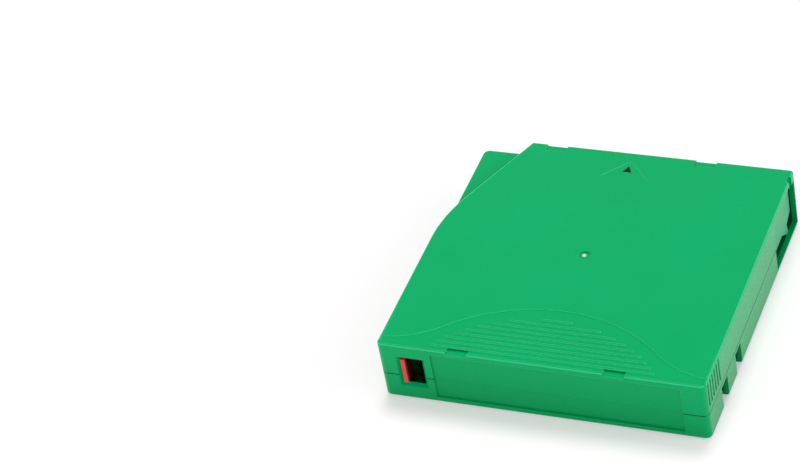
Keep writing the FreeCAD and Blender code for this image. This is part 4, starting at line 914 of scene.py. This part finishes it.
# ---------------------------------------------------------------- sub-assemblies
@dataclass
class CaseShells:
    """Upper and lower shell of the case."""

    edge: float = 0.12 * MM
    green: Colour = (0.0, 0.410, 0.138)
    deep_green: Colour = (0.0, 0.395, 0.115)
    # Share of the painted highlight along sharp edges.
    edge_highlight_share: float = 0.9
    gate_reach: float = 1.0 * MM
    gate_round: float = 0.45 * MM
    gate_steps: int = 4
    gate_arc: float = 0.5
    crown_depth: float = 0.01 * MM
    top_round: float = 0.6 * MM
    top_steps: int = 6
    head_fall: float = 0.75 * MM
    head_reach: float = 0.85 * MM
    head_skin: float = 0.012 * MM
    grooves_start: float = 2.05 * MM
    grooves_end: float = 14.5 * MM

    def dome_gate(self, piece: bpy.types.Object) -> None:
        """Round the gate mark's upper edge into a low dome.

        Args:
            piece: The upper shell.
        """
        axis = centre("tape_pack")
        shape = bmesh.new()
        shape.from_mesh(piece.data)
        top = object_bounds()[1].z - self.top_round

        def on_gate(vert: bmesh.types.BMVert) -> bool:
            """Whether a corner lies on the gate mark."""
            away = math.hypot(vert.co.x - axis.x, vert.co.y - axis.y)
            return vert.co.z > top and away < self.gate_reach

        crown = max((vert.co.z for vert in shape.verts if on_gate(vert)), default=0.0)
        edges = [
            edge for edge in shape.edges
            if all(on_gate(vert) and vert.co.z > crown - self.crown_depth for vert in edge.verts)]
        bmesh.ops.bevel(
            shape, geom=edges, offset=self.gate_round, segments=self.gate_steps, profile=self.gate_arc,
            affect="EDGES")
        shape.to_mesh(piece.data)
        shape.free()

    def head_outline(self) -> list[tuple[float, float]]:
        """Outline of the bar that closes the heads of the right side's finger grooves.

        Returns:
            The outline's corners, each as its X and Z.
        """
        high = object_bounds()[1]
        top = high.z - self.head_skin
        foot = high.z - self.head_fall
        skin = high.x - self.head_skin
        outline = [(skin - self.head_reach, foot), (skin, foot)]
        for step in range(self.top_steps + 1):
            turn = math.pi / 2 * step / self.top_steps
            outline.append((
                skin - self.top_round * (1 - math.cos(turn)), top - self.top_round * (1 - math.sin(turn))))
        outline.append((skin - self.head_reach, top))
        return outline

    def head_grooves(self, piece: bpy.types.Object) -> None:
        """Close the finger grooves' heads under the roof's rounded edge.

        Args:
            piece: The upper shell, which gets a rounded bar in each side's edge.
        """
        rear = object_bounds()[0].y
        outline = self.head_outline()
        shape = bmesh.new()
        shape.from_mesh(piece.data)
        for side in (1.0, -1.0):
            first, last = (
                [shape.verts.new((side * x, rear + y, z)) for x, z in outline]
                for y in (self.grooves_start, self.grooves_end))
            faces = [shape.faces.new(first), shape.faces.new(last)]
            for corner in range(len(outline)):
                faces.append(shape.faces.new((
                    first[corner - 1], first[corner], last[corner], last[corner - 1])))
            bmesh.ops.recalc_face_normals(shape, faces=faces)
        shape.to_mesh(piece.data)
        shape.free()

    def build(self) -> None:
        """Dress both shells."""
        printed = PrintedShell(
            "green_upper_shell", self.green, self.deep_green, edge_highlight_share=self.edge_highlight_share,
            gate_x=centre("tape_pack").x).material()
        plain = ShellPlastic(
            "green_lower_shell", self.green, self.deep_green, edge_highlight_share=self.edge_highlight_share).material()
        upper = merged_copy("upper_shell")
        self.dome_gate(upper)
        softened(upper, self.edge)
        self.head_grooves(upper)
        stand_for("upper_shell", upper, Body.CASE, printed)
        soften_node("lower_shell", self.edge, Body.CASE, plain)


@dataclass
class Door:
    """Sliding door and its long spring."""

    edge: float = 0.12 * MM
    green: Colour = (0.045, 0.450, 0.195)
    deep_green: Colour = (0.038, 0.430, 0.175)
    # Share of the painted highlight along sharp edges.
    edge_highlight_share: float = 0.5
    wire: float = 0.16 * MM
    wire_sides: int = 8
    turns: float = 34.0
    turn_steps: int = 24
    travel: float = 21.9 * MM

    def build(self, coils: CoilTree, steel: bpy.types.Material) -> None:
        """Dress the door and wind its spring.

        Args:
            coils: The spring maker.
            steel: The wire's finish.
        """
        green = MouldedPlastic(
            "green_door", self.green, self.deep_green, roughness=0.4, edge_highlight_share=self.edge_highlight_share).material()
        soften_node("sliding_door", self.edge, Body.DOOR, green)
        low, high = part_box("door_spring")
        middle = centre("door_spring")
        length = high.y - low.y - self.wire * 2
        spring = coils.make(
            "door_spring_wound", turns=self.turns, radius=(high.x - low.x) / 2 - self.wire, length=length,
            wire=self.wire, steps=self.turn_steps, sides=self.wire_sides, finish=steel,
            place=(middle.x, high.y - self.wire, middle.z), turned=(math.pi / 2, 0.0, 0.0))
        stand_for("door_spring", spring, Body.CASE, steel)
        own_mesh(spring)


@dataclass
class WriteProtect:
    """Red write-protect slider."""

    edge: float = 0.1 * MM
    red: Colour = (0.70, 0.068, 0.034)
    deep_red: Colour = (0.60, 0.052, 0.026)

    def build(self) -> None:
        """Dress the slider."""
        finish = SliderPlastic(
            "red_slider", self.red, self.deep_red, roughness=0.35, gloss_index=1.48,
            gloss_tint=WHITE, face=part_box("write_protect_tab")[0].y)
        soften_node("write_protect_tab", self.edge, Body.TAB, finish.material())


@dataclass
class Reel:
    """Hub, flanges, drive plate and wound tape."""

    edge: float = 0.06 * MM
    white: Colour = (0.62, 0.62, 0.58)
    deep_white: Colour = (0.57, 0.57, 0.53)

    def build(self, steel: bpy.types.Material, film: bpy.types.Material, white: bpy.types.Material) -> None:
        """Dress the reel.

        Args:
            steel: The drive plate's finish.
            film: The wound tape's finish.
            white: The hub's and flange's finish.
        """
        for node, slot, finish, edge in (
            ("reel_hub", "hub_plastic", white, UNBEVELLED),
            ("reel_upper_flange", "flange_plastic", white, self.edge),
            ("reel_drive_plate", "plate_steel", steel, self.edge),
            ("tape_pack", "tape_film", film, self.edge),
        ):
            soften_node(node, edge, Body.REEL, finish)


@dataclass
class Brake:
    """Brake disc, its spring and the three-legged release."""

    release_edge: float = 0.08 * MM
    wire: float = 0.3 * MM
    wire_sides: int = 12
    turns: float = 4.5
    turn_steps: int = 48
    travel: float = 1.6 * MM
    black: Colour = (0.022, 0.023, 0.024)
    deep_black: Colour = (0.016, 0.016, 0.017)

    def build(self, coils: CoilTree, steel: bpy.types.Material) -> None:
        """Dress the brake and wind its spring.

        Args:
            coils: The spring maker.
            steel: The wire's finish.
        """
        black = MouldedPlastic(
            "black_brake", self.black, self.deep_black, roughness=0.38, gloss_tint=WHITE).material()
        soften_node("brake_disc", UNBEVELLED, Body.BRAKE, black)
        soften_node("clutch_release", self.release_edge, Body.RELEASE, black)
        low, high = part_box("brake_spring")
        middle = centre("brake_disc")
        length = high.z - low.z - self.wire * 2
        spring = coils.make(
            "brake_spring_wound", turns=self.turns, radius=high.x - middle.x - self.wire, length=length,
            wire=self.wire, steps=self.turn_steps, sides=self.wire_sides, finish=steel,
            place=(middle.x, middle.y, low.z + self.wire), turned=(0.0, 0.0, 0.0))
        stand_for("brake_spring", spring, Body.CASE, steel)
        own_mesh(spring)


@dataclass
class Leader:
    """Leader pin, its clip and leaf spring, and the straight run of tape."""

    pin_edge: float = 0.08 * MM
    clip_edge: float = 0.06 * MM
    leaf_edge: float = 0.03 * MM

    def build(self, steel: bpy.types.Material, spring: bpy.types.Material, film: bpy.types.Material,
              white: bpy.types.Material) -> None:
        """Dress the leader's pieces.

        Args:
            steel: The pin's finish.
            spring: The leaf spring's finish.
            film: The tape's finish.
            white: The clip's finish.
        """
        for node, slot, finish, edge in (
            ("leader_pin", "pin_steel", steel, self.pin_edge),
            ("leader_clip", "hub_plastic", white, self.clip_edge),
            ("leader_pin_spring", "spring_steel", spring, self.leaf_edge),
            ("tape_leader", "tape_film", film, UNBEVELLED),
        ):
            soften_node(node, edge, Body.CASE, finish)


@dataclass
class SmallParts:
    """Case screws and the memory board."""

    edge: float = 0.05 * MM
    screws: tuple[str, ...] = (
        "case_screw_rear_left", "case_screw_rear_right", "case_screw_front_left", "case_screw_front_right")

    def build(self, steel: bpy.types.Material) -> None:
        """Dress the screws and the board.

        Args:
            steel: The screws' finish.
        """
        for node in self.screws:
            soften_node(node, self.edge, Body.CASE, steel)
        laminate = Laminate("green_laminate").material()
        soften_node("memory_board", self.edge, Body.CASE, laminate)


# ---------------------------------------------------------------- studio
@dataclass(frozen=True)
class Lamp:
    """A soft lamp, far away in the direction of a point.

    Its spread is how wide it looks from the cartridge, in degrees, and its level is its
    share of the light that makes a white face white.
    """

    name: str
    towards: tuple[float, float, float]
    spread: float
    level: float

    def build(self) -> None:
        """Hang the lamp."""
        data = bpy.data.lights.new(self.name, "SUN")
        data.angle = math.radians(self.spread)
        data.energy = self.level * math.pi
        lamp = bpy.data.objects.new(self.name, data)
        lamp.location = self.towards
        lamp.rotation_euler = Vector(self.towards).to_track_quat("Z", "Y").to_euler()
        bpy.context.scene.collection.objects.link(lamp)


@dataclass
class Studio:
    """Pale floor, soft lights and the camera."""

    floor_size: float = 8.0
    floor_gap: float = 0.05 * MM
    floor_bounce: Colour = (0.85, 0.85, 0.85)
    floor_seen: Colour = (0.79, 0.75, 0.77)
    floor_roughness: float = 0.9
    floor_slit: float = 0.3 * MM
    floor_lift: float = 0.28
    sky_zenith: float = 0.30
    sky_horizon: float = 1.0
    lens: float = 141.6
    sensor: float = 36.0
    near_limit: float = 0.01
    eye: Vector = field(default_factory=lambda: Vector((0.2981, -0.6863, 0.6612)))
    look: Vector = field(default_factory=lambda: Vector((-0.3593, 0.6816, -0.6375)))
    up: Vector = field(default_factory=lambda: Vector((-0.1126, 0.6464, 0.7546)))
    lamps: tuple[Lamp, ...] = (
        Lamp("key", (-0.05, 0.44, 1.16), spread=22.0, level=0.37),
        Lamp("front", (0.05, -0.70, 0.75), spread=13.0, level=0.14),
        Lamp("side", (0.85, 0.10, 0.45), spread=17.0, level=0.18))

    def floor_finish(self) -> bpy.types.Material:
        """The floor's finish, which glows faintly to the eye.

        It is clear from below and to rays shorter than the slit, so light gets under the
        cartridge.

        Returns:
            The material.
        """
        shading = Shading("pale_floor")
        path = shading.node("LightPath", {}).outputs
        seen = shading.highest(path["Is Camera Ray"], path["Is Glossy Ray"], path["Is Transmission Ray"])
        shading.finish(
            Base_Color=shading.mix(seen, self.floor_bounce, self.floor_seen), Roughness=self.floor_roughness,
            Specular_IOR_Level=0.0, Emission_Color=WHITE,
            Emission_Strength=shading.math("MULTIPLY", seen, self.floor_lift))
        below = shading.node("NewGeometry", {}).outputs["Backfacing"]
        clear = shading.highest(below, shading.below(path["Ray Length"], self.floor_slit))
        glass = shading.node("BsdfTransparent", {}).outputs[0]
        either = shading.node("MixShader", {0: clear, 1: shading.shader.outputs[0], 2: glass})
        shading.put(shading.output.inputs["Surface"], either.outputs[0])
        return shading.material

    def floor(self) -> None:
        """Lay a pale floor that keeps the cartridge's soft shadow."""
        half = self.floor_size / 2
        mesh = bpy.data.meshes.new("studio_floor")
        corners = [(x * half, y * half, -self.floor_gap) for x, y in ((-1, -1), (1, -1), (1, 1), (-1, 1))]
        mesh.from_pydata(corners, [], [(0, 1, 2, 3)])
        floor = linked("studio_floor", mesh)
        dress(floor, self.floor_finish())
        floor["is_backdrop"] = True

    def world(self) -> None:
        """Set up a pale sky, brightest at the horizon."""
        world = bpy.data.worlds.new("studio")
        world.use_nodes = True
        nodes = world.node_tree.nodes
        link = world.node_tree.links.new
        sky = nodes["Background"]
        sky.inputs["Color"].default_value = (*WHITE, 1.0)
        way = nodes.new("ShaderNodeTexCoord")
        parts = nodes.new("ShaderNodeSeparateXYZ")
        rise = nodes.new("ShaderNodeMapRange")
        link(way.outputs["Generated"], parts.inputs[0])
        link(parts.outputs["Z"], rise.inputs["Value"])
        rise.inputs["To Min"].default_value = self.sky_horizon
        rise.inputs["To Max"].default_value = self.sky_zenith
        link(rise.outputs["Result"], sky.inputs["Strength"])
        bpy.context.scene.world = world

    def camera(self) -> None:
        """Set up the camera, a long lens from above the rear right corner."""
        data = bpy.data.cameras.new("camera")
        data.lens = self.lens
        data.sensor_width = self.sensor
        data.clip_start = self.near_limit
        camera = bpy.data.objects.new("camera", data)
        right = self.look.cross(self.up).normalized()
        up = right.cross(self.look).normalized()
        turn = Matrix((right, up, -self.look.normalized())).transposed()
        camera.matrix_world = Matrix.Translation(self.eye) @ turn.to_4x4()
        bpy.context.scene.collection.objects.link(camera)
        bpy.context.scene.camera = camera

    def build(self) -> None:
        """Set up the whole studio."""
        self.floor()
        self.world()
        self.camera()
        for lamp in self.lamps:
            lamp.build()
        bpy.context.scene.view_settings.view_transform = "Standard"


def main() -> None:
    """Build the cartridge piece by piece."""
    logging.basicConfig(level=logging.INFO, format="%(name)s: %(message)s")
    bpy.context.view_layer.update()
    coils = CoilTree()
    wire = Steel("drawn_wire", colour=(0.42, 0.41, 0.40), roughness=0.3).material()
    bright = Steel("ground_pin", roughness=0.18).material()
    plate = Steel("plated_plate", roughness=0.32).material()
    zinc = Steel("zinc_screw", colour=(0.50, 0.51, 0.53), roughness=0.35).material()
    film = WoundFilm("wound_tape", axis_x=centre("tape_pack").x).material()
    white = MouldedPlastic(
        "white_reel", Reel.white, Reel.deep_white, roughness=0.45, gloss_tint=WHITE).material()
    Studio().build()
    CaseShells().build()
    Door().build(coils, wire)
    WriteProtect().build()
    Reel().build(plate, film, white)
    Brake().build(coils, wire)
    Leader().build(bright, wire, film, white)
    SmallParts().build(zinc)


if __name__ == "__main__":
    main()
